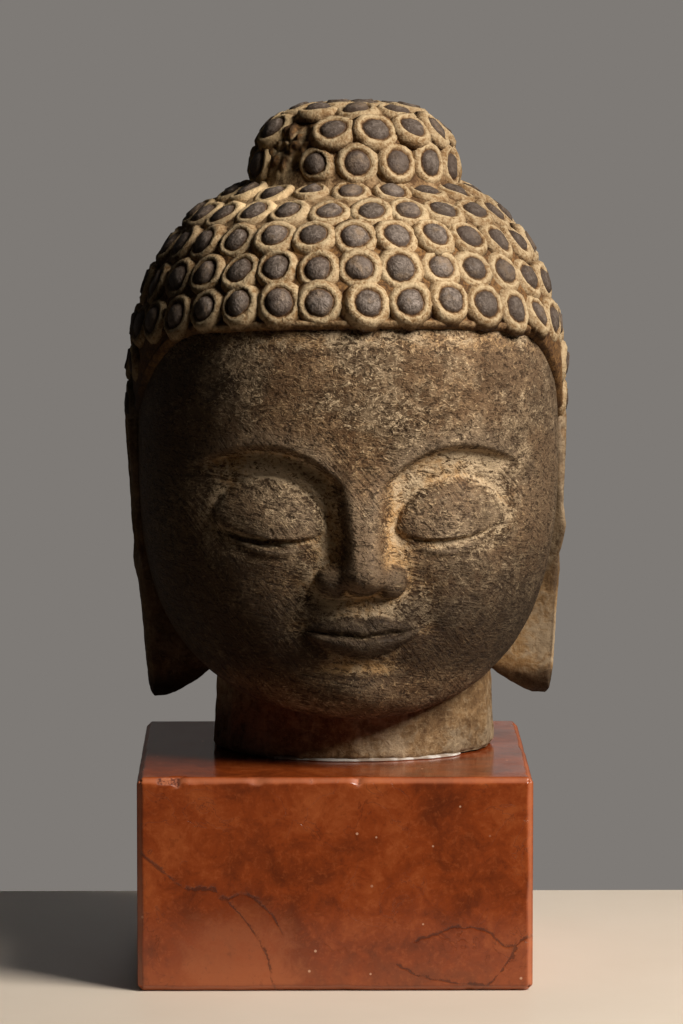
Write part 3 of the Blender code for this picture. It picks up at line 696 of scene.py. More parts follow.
def forms(table, across, up):
    """The sum of soft round rises and hollows, each a row of height, middle and reach."""
    return sum(height * mound(across, up, *lie) for height, *lie in table)


def round_top(value):
    """Height of a ball of radius 1 at a squared distance from its middle."""
    return np.sqrt(np.clip(1 - value, 0, 1))


def dome(across, up, middle_across, middle_up, reach_across, reach_up):
    """A full round rise of height 1 with a clear edge."""
    return round_top(((across - middle_across) / reach_across) ** 2 + ((up - middle_up) / reach_up) ** 2)


def joined(first, second):
    """The higher of two forms, with the corner between them filled softly."""
    return (first + second + np.sqrt((first - second) ** 2 + JOINT_SOFTNESS**2) - JOINT_SOFTNESS) / 2


def eye_relief(across, up):
    """Socket under an arched brow, with a full lowered lid over a narrow opening."""
    from_arch = across - BROW_PEAK[0]
    below = BROW_PEAK[1] - np.where(from_arch < 0, *BROW_FALL) * from_arch**2 - up
    socket = SOCKET_DEPTH * ease(0.45, 1.25, across) * (1 - ease(3.6, 5.7, across))
    socket = socket * ease(0.0, 0.34, below) * (1 - ease(1.1, 3.9, below))
    arc = np.clip(1 - ((across - EYE_ACROSS) / EYE_HALF) ** 2, 0, 1)
    lash_line = LASH_UP - LASH_DROOP * arc + EYE_SLANT * (across - EYE_ACROSS)
    lower_line = lash_line - OPENING * arc
    lid_top = lash_line + LID_HEIGHT * arc**0.6
    lid_foot = lower_line - 0.30 * arc**0.8
    rounding = np.clip(2 * (up - lid_foot) / np.maximum(lid_top - lid_foot, 0.1) - 1, -1.0, 1.0)
    lid = LID_FULLNESS * arc**0.4 * (1 - rounding**2) ** np.where(rounding > 0, 0.7, 0.9)
    under_lid = ease(0.0, 0.10, lash_line - up)
    opening = OPENING_DEPTH * arc * under_lid * (1 - ease(-0.08, 0.06, lower_line - up))
    lower_rim = LOWER_RIM_FULLNESS * arc * hump(up, lower_line - 0.14, 0.12)
    crease = CREASE_DEPTH * hump(up, lid_top + 0.04, 0.10) * ease(0.05, 0.5, arc)
    return lid * (1 - 0.35 * under_lid) - socket - opening + lower_rim - crease


def nose_relief(across, up):
    """Straight nose that flows down from the brows, with rounded wings."""
    ridge = through(np.array(NOSE_UP), np.array(NOSE_RIDGE), up)
    top_half = 0.16 + 0.14 * ease(5.2, 7.4, up)
    foot_half = 0.95 + 0.22 * (1 - ease(4.6, 6.4, up))
    bridge = ridge * (1 - ease(top_half, foot_half, across))
    tip = NOSE_TIP_FULLNESS * dome(across, up, *NOSE_TIP)
    wing = NOSE_WING_FULLNESS * dome(across, up, *NOSE_WING)
    return joined(joined(bridge, tip), wing)


def mouth_relief(across, up):
    """Small full lips with lifted corners."""
    reach = np.clip(across / MOUTH_HALF, 0, 1)
    parting = MOUTH_UP + LIP_CURL * reach**2 - 0.07 * hump(across, 0.0, 0.3)
    upper_height = (UPPER_LIP_HEIGHT - 0.08 * hump(across, 0.0, 0.22)) * (1 - reach**1.6)
    lower_height = LOWER_LIP_HEIGHT * (1 - reach**2.2)
    fullness = round_top((across / (MOUTH_HALF + 0.10)) ** 2)
    upward = (up - parting) / np.maximum(upper_height, 0.05)
    downward = (parting - up) / np.maximum(lower_height, 0.05)
    upper = UPPER_LIP_FULLNESS * fullness * round_top(upward**2) * (upward >= 0)
    pad = np.sin(math.pi * np.clip(0.25 + 0.75 * downward, 0, 1)) * (downward > 0)
    lower = LOWER_LIP_FULLNESS * fullness * pad
    groove = PARTING_DEPTH * hump(up, parting, 0.10) * (1 - ease(1.65, 2.0, across))
    return upper + lower - groove


def face_relief(across, height):
    """How far the carved face stands in front of the skull."""
    x = np.abs(across) / UNIT
    up = (height - CHIN_HEIGHT) / UNIT
    return eye_relief(x, up) + nose_relief(x, up) + mouth_relief(x, up) + forms(SOFT_FORMS, x, up)


def sections(table, count):
    """Places along a table of sections, and the sections that a smooth curve has there."""
    rows = np.linspace(0.0, len(table) - 1.0, count)
    return rows, through(np.arange(len(table), dtype=float), table, rows)


def section_points(angles, half_width, front_reach, back_reach, full):
    """Across and back of a section at angles round from the front, fuller in front by a share."""
    power = 2 / (2 + (FRONT_FULLNESS - 2) * full)
    across = half_width * np.sign(np.sin(angles)) * np.abs(np.sin(angles)) ** power
    front = front_reach * np.maximum(np.cos(angles), 0.0) ** power
    return across, back_reach * np.maximum(-np.cos(angles), 0.0) - front


def skull_grid():
    """Rings of points from under the jaw to under the crown, closed round the head."""
    turn = np.arange(SKULL_COLUMNS) / SKULL_COLUMNS * 2 - 1
    angles = math.pi * (FRONT_CROWDING * turn + (1 - FRONT_CROWDING) * turn**3)
    front = np.maximum(np.cos(angles), 0.0)
    rings = []
    for row, (height, *reaches) in zip(*sections(SKULL, SKULL_ROWS)):
        across, depth = section_points(angles, *reaches, ease(*FULL_FRONT_SECTIONS, row))
        level = height + JAW_RISE * (1 - ease(*JAW_RISE_SECTIONS, row)) * (1 - np.cos(angles)) / 2
        depth = depth - face_relief(across, level) * ease(*FACE_EDGE, front)
        rings.append(np.stack((across, depth, level), axis=-1))
    return np.array(rings)


def outward(grid):
    """Directions square to a grid of points whose rows close on themselves."""
    along = np.roll(grid, -1, axis=1) - np.roll(grid, 1, axis=1)
    down = np.gradient(grid, axis=0)
    square = np.cross(along, down)
    return square / np.maximum(np.linalg.norm(square, axis=-1, keepdims=True), 1e-12)


def smoothed(grid, passes):
    """The grid with its forms worn down by averaging each point with its neighbours."""
    for _ in range(passes):
        padded = np.concatenate((grid[:1], grid, grid[-1:]))
        beside = np.roll(grid, 1, axis=1) + np.roll(grid, -1, axis=1)
        grid = (padded[:-2] + padded[2:] + beside) / 4
    return grid


def lie_of(grid, passes, full):
    """How deep each point lies in a hollow, and how proud on a ridge, from 0 to 1."""
    under = ((smoothed(grid, passes) - grid) * outward(grid)).sum(axis=-1) / full
    return np.clip(under, 0, 1), np.clip(-under, 0, 1)


def roughened(grid, *layers, share=1.0):
    """The grid moved in and out by layers of unevenness, each its height, size and seed."""
    lift = sum(height * swell(grid, size, seed) for height, size, seed in layers)
    return grid + outward(grid) * (lift * share)[..., None]


skull = skull_grid()
skull_hollow, skull_ridge = lie_of(skull, 90, 0.0011)
skull = roughened(skull, (0.00026, 0.0065, 10), (0.00010, 0.0016, 11), share=1.2 - skull_ridge)
under_hair = HAIRLINE_HEIGHT - 0.0012 - skull[..., 2] - 0.0040 * (skull[..., 0] / 0.05) ** 2
skull_hollow = np.maximum(skull_hollow, 0.40 * (1 - ease(0.001, 0.006, under_hair)))
head_stone = old_stone("head stone", tan=0.45, rubbed=0.75, smut_and_shade=1.12, unshaded_middle=9.0)
finish_piece("head", loft(place_on_block(skull)), head_stone, hollow=skull_hollow, ridge=skull_ridge)


# ---- Ears ----
# Long ears carved with the head: a rolled rim, an inner ridge round the bowl, and a heavy
# lobe that hangs free beside the jaw and ends in a blunt point.

# Sections from the tip of the lobe up: height, middle, half breadth, outer and inner face
EAR = np.array((
    (0.0742, 0.0050, 0.0030, 0.0575, 0.0540),
    (0.0762, 0.0052, 0.0062, 0.0587, 0.0497),
    (0.0805, 0.0056, 0.0082, 0.0594, 0.0430),
    (0.0860, 0.0060, 0.0092, 0.0599, 0.0380),
    (0.0950, 0.0064, 0.0098, 0.0604, 0.0380),
    (0.1060, 0.0069, 0.0108, 0.0611, 0.0400),
    (0.1180, 0.0074, 0.0126, 0.0625, 0.0450),
    (0.1300, 0.0078, 0.0146, 0.0620, 0.0480),
    (0.1410, 0.0080, 0.0154, 0.0622, 0.0480),
    (0.1510, 0.0080, 0.0142, 0.0625, 0.0480),
    (0.1590, 0.0076, 0.0105, 0.0622, 0.0480),
    (0.1632, 0.0072, 0.0040, 0.0605, 0.0480),
))
EAR_ROWS = 260
EAR_COLUMNS = 150
EAR_SIDE_COLUMNS = 26
EAR_INNER_BACK = 0.6
EAR_INNER_FRONT = -0.4
AURICLE_MIDDLE = 0.138
AURICLE_TOP_REACH = 0.0240
AURICLE_FOOT = (0.108, 0.122)
AURICLE_HALF = 0.0154
LOBE = (0.077, 0.086, 0.092, 0.120)
LOBE_LEAN_HEIGHTS = (0.074, 0.155)
# Bowl, hollow above it, knob in front, knob below it, and channel of the lobe: height, then
# middle across and up, and reach across and up
EAR_FORMS = (
    (-0.0034, -0.22, 0.127, 0.40, 0.0115),
    (-0.0014, -0.05, 0.147, 0.38, 0.0060),
    (0.0008, -0.86, 0.1235, 0.22, 0.0045),
    (0.0009, 0.22, 0.1125, 0.30, 0.0040),
    (-0.0013, 0.0, 0.094, 0.42, 0.0120),
)
# Name, side, how far the lobe leans in, and how much earth lies on it
EARS = (("ear_right", 1, 0.0, 0.8), ("ear_left", -1, 0.0022, -0.3))


def ear_relief(place, height, half):
    """How far the carving of an ear stands out, from -1 at its front edge to 1 at its back edge."""
    above = max(0.0, (height - AURICLE_MIDDLE) / AURICLE_TOP_REACH)
    ring = np.hypot(place * half / AURICLE_HALF, above)
    upper = ease(*AURICLE_FOOT, height)
    rolled_rim = 0.0024 * ease(0.70, 0.82, ring) * (1 - 0.4 * ease(0.92, 1.05, ring))
    inner_ridge = 0.0020 * mound(place, height, 0.34, 0.133, 0.17, 0.019)
    return upper * (rolled_rim + inner_ridge - 0.0018) + forms(EAR_FORMS, place, height)


def ear_grid(side, lobe_lean):
    """Slices of one ear from the tip of its lobe upwards. Side is 1 at +X and -1 at -X."""
    place = np.linspace(-1.0, 1.0, EAR_COLUMNS)
    rings = []
    for height, middle, half, outer, inner in sections(EAR, EAR_ROWS)[1]:
        lean = lobe_lean * (1 - ease(*LOBE_LEAN_HEIGHTS, height))
        rounding = 0.0016 * place**8 * ease(0.074, 0.080, height)
        out = outer - lean + ear_relief(place, height, half) - rounding
        depth = middle + half * place
        corners = [
            (out[-1], depth[-1]),
            (inner - lean, middle + EAR_INNER_BACK * half),
            (inner - lean, middle + EAR_INNER_FRONT * half),
            (out[0], depth[0]),
        ]
        for corner, following in zip(corners, corners[1:]):
            more_out, more_depth = np.linspace(corner, following, EAR_SIDE_COLUMNS)[1:].T
            out = np.append(out, more_out)
            depth = np.append(depth, more_depth)
        ring = np.stack((side * out[:-1], depth[:-1], np.full(len(out) - 1, height)), axis=-1)
        rings.append(ring[::side])
    return np.array(rings)


ear_stone = old_stone(
    "ear stone", tan=0.95, rubbed=0.6, grit=0.2, smut_and_shade=0.95, strokes=0.25, stroke_size=(0.6, 0.6, 6.0),
    leans=(6.0, 0.0), depth=0.00026,
)
for name, side, lobe_lean, lobe_earth in EARS:
    ear = smoothed(ear_grid(side, lobe_lean), 5)
    ear_hollow, ear_ridge = lie_of(ear, 60, 0.0009)
    ear_height = ear[..., 2]
    lobe = ease(*LOBE[:2], ear_height) * (1 - ease(*LOBE[2:], ear_height))
    ear_hollow = np.maximum(ear_hollow, lobe_earth * lobe * (1 - ear_ridge))
    # The left lobe, on the side away from the lamp, loses its earth and darkens: painted shade.
    if side < 0:
        ear_hollow = ear_hollow * (1 - 1.2 * lobe)
    ear_hollow = ear_hollow - 0.9 * (1 - ease(0.076, 0.084, ear_height))
    ear = roughened(ear, (0.00014, 0.0030, 12), (0.00008, 0.0012, 13))
    finish_piece(name, loft(place_on_block(ear)), ear_stone, hollow=ear_hollow, ridge=ear_ridge)


# ---- Scalp ----
# The cap of hair under the curls, with the round topknot on its crown. Along the hairline
# it ends in a low rounded band, cut free of the forehead and the ears.

# Sections from the crown down: height, half width, front, back, share of the topknot's offset
SCALP = np.array((
    (0.2423, 0.0002, 0.0002, 0.0002, 1.0),
    (0.2419, 0.0115, 0.0115, 0.0115, 1.0),
    (0.2394, 0.0198, 0.0198, 0.0198, 1.0),
    (0.2342, 0.0252, 0.0252, 0.0252, 1.0),
    (0.2270, 0.0273, 0.0275, 0.0275, 1.0),
    (0.2206, 0.0292, 0.0300, 0.0300, 1.0),
    (0.2170, 0.0350, 0.0375, 0.0360, 0.8),
    (0.2120, 0.0426, 0.0458, 0.0445, 0.5),
    (0.2045, 0.0496, 0.0528, 0.0523, 0.2),
    (0.1950, 0.0548, 0.0576, 0.0580, 0.0),
    (0.1840, 0.0583, 0.0608, 0.0616, 0.0),
    (0.1725, 0.0601, 0.0619, 0.0629, 0.0),
    (0.1600, 0.0607, 0.0619, 0.0634, 0.0),
    (0.1480, 0.0608, 0.0614, 0.0632, 0.0),
    (0.1360, 0.0608, 0.0606, 0.0622, 0.0),
    (0.1240, 0.0602, 0.0594, 0.0603, 0.0),
    (0.1120, 0.0583, 0.0580, 0.0570, 0.0),
    (0.1010, 0.0556, 0.0566, 0.0528, 0.0),
    (0.0920, 0.0515, 0.0550, 0.0480, 0.0),
    (0.0820, 0.0460, 0.0530, 0.0425, 0.0),
))
TOPKNOT_OFFSET = (0.0025, 0.0040)
FULL_FRONT_DOWN = (0.070, 0.095)
# Edge of the hair: degrees round from the front, height
HAIRLINE = np.array((
    (0, HAIRLINE_HEIGHT), (35, 0.1825), (58, 0.1785), (72, 0.1685), (84, 0.1572), (98, 0.1512),
    (108, 0.1410), (115, 0.1180), (124, 0.0970), (142, 0.0885), (180, 0.0865),
))
SCALP_ROWS = 170
SCALP_COLUMNS = 480
EDGE_TRIM = 0.0008
LIP_RADIUS = 0.0018
LIP_ROWS = 12
BAND_HEIGHT = 0.0013
BAND_FROM_EDGE = 0.0014
BAND_REACH = 0.0009
BETWEEN_CURLS = 0.0009
# Where two curls of the topknot broke away: distance down, angle round, reach and depth
BREAK_DOWN = 0.0290
BREAK_ANGLE = math.radians(-49)
BREAK_REACH = 0.0075
BREAK_DEPTH = 0.0030
SCALP_DEPTH = 0.0050

scalp_steps = np.hypot(np.diff(SCALP[:, 0]), np.diff(SCALP[:, 1]))
SCALP_PLACES = np.concatenate(([0.0], np.cumsum(scalp_steps)))


def scalp_points(down, angles):
    """Points of the scalp at distances down from the crown and angles round from the front."""
    down, angles = np.broadcast_arrays(down, angles)
    height, *reaches, offset = np.moveaxis(through(SCALP_PLACES, SCALP, down), -1, 0)
    across, depth = section_points(angles, *reaches, ease(*FULL_FRONT_DOWN, down))
    aside, behind = TOPKNOT_OFFSET
    return np.stack((across + offset * aside, depth + offset * behind, height), axis=-1)


def scalp_outward(down, angles):
    """Directions square to the scalp, from three points close together."""
    near = 0.001
    here = scalp_points(down, angles)
    below = scalp_points(down + near, angles)
    beside = scalp_points(down, angles + near / np.maximum(down, near))
    square = np.cross(beside - here, here - below)
    return square / np.linalg.norm(square, axis=-1, keepdims=True)


def hairline_height(angles):
    """Height of the edge of the hair at angles round from the front."""
    turned = np.abs((angles + math.pi) % math.tau - math.pi)
    return through(np.radians(HAIRLINE[:, 0]), HAIRLINE[:, 1], turned)


def hair_edge_down(angles):
    """Distance of the edge of the hair down from the crown."""
    return np.interp(-hairline_height(angles), -SCALP[:, 0], SCALP_PLACES)


def scalp_grid():
    """Rings from the crown to the edge of the hair, rolled in under it, and how proud they lie."""
    angles, _ = circle(SCALP_COLUMNS)
    edge = hair_edge_down(angles) - EDGE_TRIM * ease(-0.6, 0.2, np.cos(angles))
    rows = []
    proud = []
    for share in np.linspace(0.006, 1.0, SCALP_ROWS):
        down = share * (edge - LIP_RADIUS)
        from_edge = edge - down
        band = hump(from_edge, BAND_FROM_EDGE, BAND_REACH) * ease(-0.002, 0.004, from_edge)
        lift = BAND_HEIGHT * band + BETWEEN_CURLS * ease(0.002, 0.007, from_edge)
        rows.append(scalp_points(down, angles) + scalp_outward(down, angles) * lift[:, None])
        proud.append(band)
    last_lift = BAND_HEIGHT * band
    for roll in np.linspace(0.0, math.pi / 2, LIP_ROWS)[1:]:
        down = edge - LIP_RADIUS * (1 - math.sin(roll))
        sunk = LIP_RADIUS * (1 - math.cos(roll)) - last_lift * math.cos(roll)
        rows.append(scalp_points(down, angles) - scalp_outward(down, angles) * sunk[:, None])
        proud.append(band * math.cos(roll))
    rows.append(scalp_points(edge, angles) - scalp_outward(edge, angles) * (LIP_RADIUS + SCALP_DEPTH))
    proud.append(0.0 * band)
    return np.array(rows), np.array(proud)


def curled_stone():
    """The same stone on the hair: grey rubbed discs with darker rims, pale earthy collars with a painted
    highlight on their crests, and smut and painted shade in the cuts.
    """
    finish = Finish("curled stone")
    cloud, rise, blend = finish.cloud, finish.rise, finish.blend
    disc = finish.measure("disc")
    crest = finish.measure("crest")
    tone = finish.measure("tone")
    broad = cloud(24, 3, 0.55)
    patches = cloud(4.2, 4, 0.62, 0.5)
    mottle = cloud(1.5, 3, 0.60, 0.6)
    grain = cloud(0.60, 3, 0.65)
    speckle = (mottle - 0.5) * 2.2 + (grain - 0.5) * 1.4
    blotch = (patches - 0.5) * 1.6 + (broad - 0.5) * 1.2
    slope = blend(rise(speckle + blotch, -0.50, 0.60), tint(70, 45, 24), tint(132, 95, 54))
    pale = blend(rise(speckle + blotch, -0.64, 0.50), tint(126, 94, 57), tint(180, 155, 119))
    colour = blend(rise(crest + blotch * 0.4, 0.20, 0.80), slope, pale)
    # A painted highlight along the crests of the collars.
    colour = blend(rise(crest + speckle * 0.07, 0.90, 1.00) * 0.38, colour, tint(210, 186, 146))
    across, back, up = finish.axes()
    # Paler collars on the left of the topknot: painted light where the lamp barely reaches.
    painted_topknot_light = rise(across, -4.0, -18.0) * rise(up, 211.0, 218.0) * rise(crest + speckle * 0.25, 0.20, 0.85)
    colour = blend(painted_topknot_light * 0.70, colour, tint(226, 194, 146))
    top = blend(rise(speckle + (tone - 0.5) * 0.7, -0.70, 0.80), tint(84, 72, 62), tint(148, 133, 121))
    top = blend(rise(blotch + tone * 0.3, 0.10, 0.55) * 0.45, top, tint(150, 120, 84))
    top = blend(rise(blotch + (0.5 - tone) * 0.8, -0.05, -0.55) * 0.55, top, tint(66, 49, 37))
    # Darker rims round the discs: patina and painted shade.
    top = blend(rise(disc + speckle * 0.16, 1.00, 0.62) * 0.70, top, tint(58, 42, 30))
    # Painted shade and some smut on the sides and under the jaw, strongest on the disc tops.
    shade_and_smoke = finish.shade_and_smoke(-4.0)
    top = blend(shade_and_smoke * 0.85, top, tint(54, 42, 33))
    colour = blend(rise(disc + speckle * 0.10, 0.38, 0.52), colour, top)
    # Dark in the deep cuts round and between the curls: smut and painted shade.
    cut_shade_and_smut = rise(finish.measure("hollow") + blotch * 0.4 - speckle * 0.2, 0.36, 0.95)
    colour = blend(cut_shade_and_smut * 0.80, colour, tint(60, 42, 26))
    colour = blend(rise(grain * 0.6 + mottle * 0.4, 0.43, 0.33) * 0.35, colour, tint(52, 38, 25))
    # The same painted shade and smut over the whole of the hair.
    colour = blend(shade_and_smoke * 0.42, colour, tint(44, 31, 20))
    # Painted shadow on the curls low at the left front of the hair.
    painted_shadow = rise(across, -38.0, -50.0) * rise(back, 24.0, 10.0) * rise(up, 174.0, 160.0)
    colour = blend(painted_shadow * 0.85, colour, tint(20, 14, 9))
    rough = 0.80 - disc * 0.14 + (grain - 0.5) * 0.2
    normal = finish.bump(grain * 0.6 + mottle * 0.7 + patches * 0.4, 0.00046)
    return finish.done(Base_Color=colour, Roughness=rough, IOR=1.45, Specular_IOR_Level=0.22, Normal=normal)


hair_stone = curled_stone()
scalp, scalp_proud = scalp_grid()
scalp = roughened(scalp, (0.00020, 0.0034, 14), (0.00012, 0.0013, 15))
from_break = np.linalg.norm(scalp - scalp_points(BREAK_DOWN, BREAK_ANGLE), axis=-1)
broken = np.exp(-((from_break / BREAK_REACH) ** 4))
ragged = swell(scalp, 0.0042, 16) + 0.5 * swell(scalp, 0.0020, 17)
scalp = scalp + outward(scalp) * (broken * BREAK_DEPTH * (ragged + 0.25))[..., None]
ragged = broken * np.clip(ragged * 2.5 + 0.3, -1.0, 1.0)
knot_foot = ease(0.203, 0.209, scalp[..., 2]) * (1 - ease(0.224, 0.229, scalp[..., 2]))
front_band = scalp_proud * (1 - 0.7 * ease(0.040, 0.056, np.abs(scalp[..., 0])))
finish_piece(
    "scalp",
    loft(place_on_block(scalp)),
    hair_stone,
    disc=0.0 * scalp_proud,
    tone=0.5 + 0.0 * scalp_proud,
    crest=0.9 * front_band + 0.45 * knot_foot + 0.9 * np.maximum(ragged, 0.0) + 0.2 * broken,
    hollow=0.52 * (1 - scalp_proud) * (1 - 0.8 * knot_foot) - 0.7 * np.minimum(ragged, 0.0),
)


# ---- Curls ----
# Round curls in rows down from the crown, each a flat disc set in a narrow cut, with a
# raised collar round it. They were cut one by one, so no two are quite alike.

FIRST_ROW = 0.0050
ROW_PITCH = 0.0097
LOW_ROW_PITCH = 0.0108
TOP_ROWS = 9
LOW_ROWS = 8
ROW_DROOP = 0.0105
DROOP_START = math.radians(18)
DROOP_END = math.radians(95)
CURL_PITCH = 0.0120
TOP_CURL_PITCH = 0.0114
TOPKNOT_ROWS = 4
ROW_TURNS = (0.3, 0.0, 0.35, -0.15, -0.28, 0.17, -0.20, -0.06, 0.08)
CURL_SCATTER = 0.0004
CURL_EDGE_ROOM = 0.0053
CURL_RADIUS = 0.0043
CURL_CROWDING = 0.50
CURL_SEED = 11
# Row and number of the curls that broke away
LOST_CURLS = ((2, 11), (3, 13))
HAIRLINE_STEP = 0.0068
CURL_SIDES = 13
# Rings of one curl from its middle out: radius, height, how much it is disc, collar and cut
CURL_RINGS = (
    (0.00285, 0.00280, 0.86, 0.0, 0.0),
    (0.00385, 0.00165, 0.35, 0.3, 0.6),
    (0.00470, 0.00222, 0.0, 1.0, 0.0),
    (0.00580, 0.00178, 0.0, 0.9, 0.1),
    (0.00740, -0.00070, 0.0, 0.3, 0.65),
)
CURL_MIDDLE = (0.00300, 1.0, 0.0, 0.0)
# Inputs of the tree that sets the curls, each its name and kind, and how far they may vary
CURL_INPUTS = (
    ("Points", "Geometry"), ("Curl", "Object"), ("Tilt", "Float"), ("Least size", "Vector"),
    ("Greatest size", "Vector"), ("Wear", "Float"), ("Wear size", "Float"), ("Stone", "Material"),
)
CURL_GROWTH = {
    "Tilt": math.radians(7.0), "Least size": (0.95, 0.95, 0.80), "Greatest size": (1.06, 1.06, 1.10),
    "Wear": 0.0019, "Wear size": 0.0056,
}


def curl_places():
    """Middles of the curls row by row, as arrays of distance down and angle."""
    scatter = np.random.default_rng(CURL_SEED)
    fine_angles = np.radians(np.arange(-180, 181, 1.0))
    edge = hair_edge_down(fine_angles)
    edge_points = scalp_points(edge, fine_angles)
    along = np.concatenate(([0.0], np.cumsum(np.linalg.norm(np.diff(edge_points, axis=0), axis=1))))
    even = np.linspace(0.0, along[-1], round(along[-1] / HAIRLINE_STEP), endpoint=False)
    rim = scalp_points(np.interp(even, along, edge), np.interp(even, along, fine_angles))
    found = []
    for row in range(TOP_ROWS + LOW_ROWS):
        level = min(row, TOP_ROWS - 1)
        start = FIRST_ROW + ROW_PITCH * level + LOW_ROW_PITCH * (row - level)
        droop = ROW_DROOP * (level / (TOP_ROWS - 1)) ** 2
        around = through(SCALP_PLACES, SCALP[:, 1:4], np.array(start + droop / 2)).mean() * math.tau
        pitch = TOP_CURL_PITCH if row < TOPKNOT_ROWS else CURL_PITCH
        count = max(3, round(around / pitch))
        turn = ROW_TURNS[row] if row < TOP_ROWS else 0.5 * (row % 2)
        for index in range(count):
            angle = (index + turn) / count * math.tau
            angle = (angle + math.pi) % math.tau - math.pi
            down = start + droop * ease(DROOP_START, DROOP_END, abs(angle))
            down += CURL_SCATTER * scatter.uniform(-1, 1)
            angle += CURL_SCATTER * scatter.uniform(-1, 1) / around * math.tau
            middle = scalp_points(down, angle)
            room = np.linalg.norm(rim - middle, axis=1).min()
            in_hair = middle[2] > hairline_height(angle) and room > CURL_EDGE_ROOM
            if in_hair and (row, index) not in LOST_CURLS:
                found.append((down, angle))
    return np.array(found).T


def one_curl():
    """A single curl that stands on the XY plane, closed below."""
    body = bmesh.new()
    spokes, _ = circle(CURL_SIDES)
    measures = [CURL_MIDDLE[1:]]
    middle = body.verts.new((0.0, 0.0, CURL_MIDDLE[0]))
    rows = []
    for radius, height, *lie in CURL_RINGS:
        rows.append([(radius * math.cos(turn), radius * math.sin(turn), height) for turn in spokes])
        measures += [lie] * CURL_SIDES
    laid = skin(body, rows, ring=True)
    for i in range(CURL_SIDES):
        j = (i + 1) % CURL_SIDES
        body.faces.new((middle, laid[0][i], laid[0][j]))
        body.edges.get((laid[1][i], laid[1][j])).smooth = False
    body.faces.new(laid[-1])
    bmesh.ops.recalc_face_normals(body, faces=body.faces)
    disc, crest, hollow = np.array(measures).T
    mesh = mesh_of("one_curl", body, disc=disc, crest=crest, hollow=hollow)
    mesh.shade_smooth()
    return bpy.data.objects.new("one_curl", mesh)


def curl_tree():
    """Sets a copy of one curl square on each point of the scalp, a little tilted, sized and worn."""
    tree = bpy.data.node_groups.new("curls on the scalp", "GeometryNodeTree")
    for name, kind in CURL_INPUTS:
        tree.interface.new_socket(name, in_out="INPUT", socket_type="NodeSocket" + kind)
    tree.interface.new_socket("Curls", in_out="OUTPUT", socket_type="NodeSocketGeometry")
    graph = Graph(tree)
    node = graph.node
    inputs = tree.nodes.new("NodeGroupInput").outputs
    points, curl, lean, least_size, greatest_size, wear, wear_size, stone = [
        Term(graph, socket) for socket in inputs[:len(CURL_INPUTS)]
    ]
    curl = node("GeometryNodeObjectInfo", {"Object": curl, "As Instance": True}, "Geometry")
    attribute = "GeometryNodeInputNamedAttribute"
    way = node(attribute, {"Name": "outward"}, "Attribute", data_type="FLOAT_VECTOR")
    size = node(attribute, {"Name": "size"}, "Attribute")
    upright = node("FunctionNodeAlignRotationToVector", {"Vector": way}, axis="Z")
    least = node("ShaderNodeCombineXYZ", {0: lean * -1.0, 1: lean * -1.0})
    most = node("ShaderNodeCombineXYZ", {0: lean, 1: lean, 2: math.tau})
    chance = "FunctionNodeRandomValue"
    turned = node(chance, {0: least, 1: most, "Seed": 1}, data_type="FLOAT_VECTOR")
    turned = node("FunctionNodeEulerToRotation", {0: turned})
    stance = node("FunctionNodeRotateRotation", {0: upright, 1: turned}, rotation_space="LOCAL")
    scale = node(chance, {0: least_size, 1: greatest_size, "Seed": 2}, data_type="FLOAT_VECTOR")
    scale = node("ShaderNodeVectorMath", {0: scale, "Scale": size}, operation="SCALE")
    sockets = {"Points": points, "Instance": curl, "Rotation": stance, "Scale": scale}
    laid = node("GeometryNodeInstanceOnPoints", sockets)
    tone = node(chance, {2: 0.0, 3: 1.0, "Seed": 3}, 1)
    sockets = {"Geometry": laid, "Name": "tone", "Value": tone}
    laid = node("GeometryNodeStoreNamedAttribute", sockets, domain="INSTANCE")
    solid = node("GeometryNodeRealizeInstances", {"Geometry": laid})
    drift = node("ShaderNodeTexNoise", {"Scale": 1.0 / wear_size, "Detail": 2.0}, "Color")
    drift = node("ShaderNodeVectorMath", {0: drift, 1: (0.5, 0.5, 0.5)}, operation="SUBTRACT")
    drift = node("ShaderNodeVectorMath", {0: drift, "Scale": wear}, operation="SCALE")
    worn = node("GeometryNodeSetPosition", {"Geometry": solid, "Offset": drift})
    stoned = node("GeometryNodeSetMaterial", {"Geometry": worn, "Material": stone})
    graph.feed(tree.nodes.new("NodeGroupOutput"), {"Curls": stoned})
    return tree


def set_curls():
    """The curls as one plain mesh, made on the scalp by the tree."""
    down, angles = curl_places()
    middles = scalp_points(down, angles)
    ways = scalp_outward(down, angles)
    tops = middles + CURL_RINGS[0][1] * ways
    gaps = np.linalg.norm(tops[:, None] - tops[None], axis=-1) + np.eye(len(tops))
    mesh = bpy.data.meshes.new("curl_middles")
    mesh.from_pydata(place_on_block(middles).tolist(), [], [])
    turned = ways @ np.array(Matrix.Rotation(HEAD_TURN, 3, "Z")).T
    mesh.attributes.new("outward", "FLOAT_VECTOR", "POINT").data.foreach_set("vector", turned.ravel())
    sizes = np.minimum(1.0, CURL_CROWDING * gaps.min(axis=1) / CURL_RADIUS)
    mesh.attributes.new("size", "FLOAT", "POINT").data.foreach_set("value", sizes)
    points = link("curl_middles", mesh)
    curl = one_curl()
    growth = points.modifiers.new("curls", "NODES")
    growth.node_group = curl_tree()
    wanted = {"Curl": curl, "Stone": hair_stone, **CURL_GROWTH}
    for item in growth.node_group.interface.items_tree:
        if item.name in wanted:
            growth[item.identifier] = wanted[item.name]
    seen = points.evaluated_get(bpy.context.evaluated_depsgraph_get())
    curls = bpy.data.meshes.new_from_object(seen)
    curls.name = "curls"
    bpy.data.objects.remove(points)
    bpy.data.objects.remove(curl)
    add_piece(curls)


set_curls()


# ---- Stage, light and camera ----
# A plain pale table top under plain soft light: a large soft lamp high on the right, a weak
# one behind, and a dim card behind that shows only in the polish. Round them is an even grey.

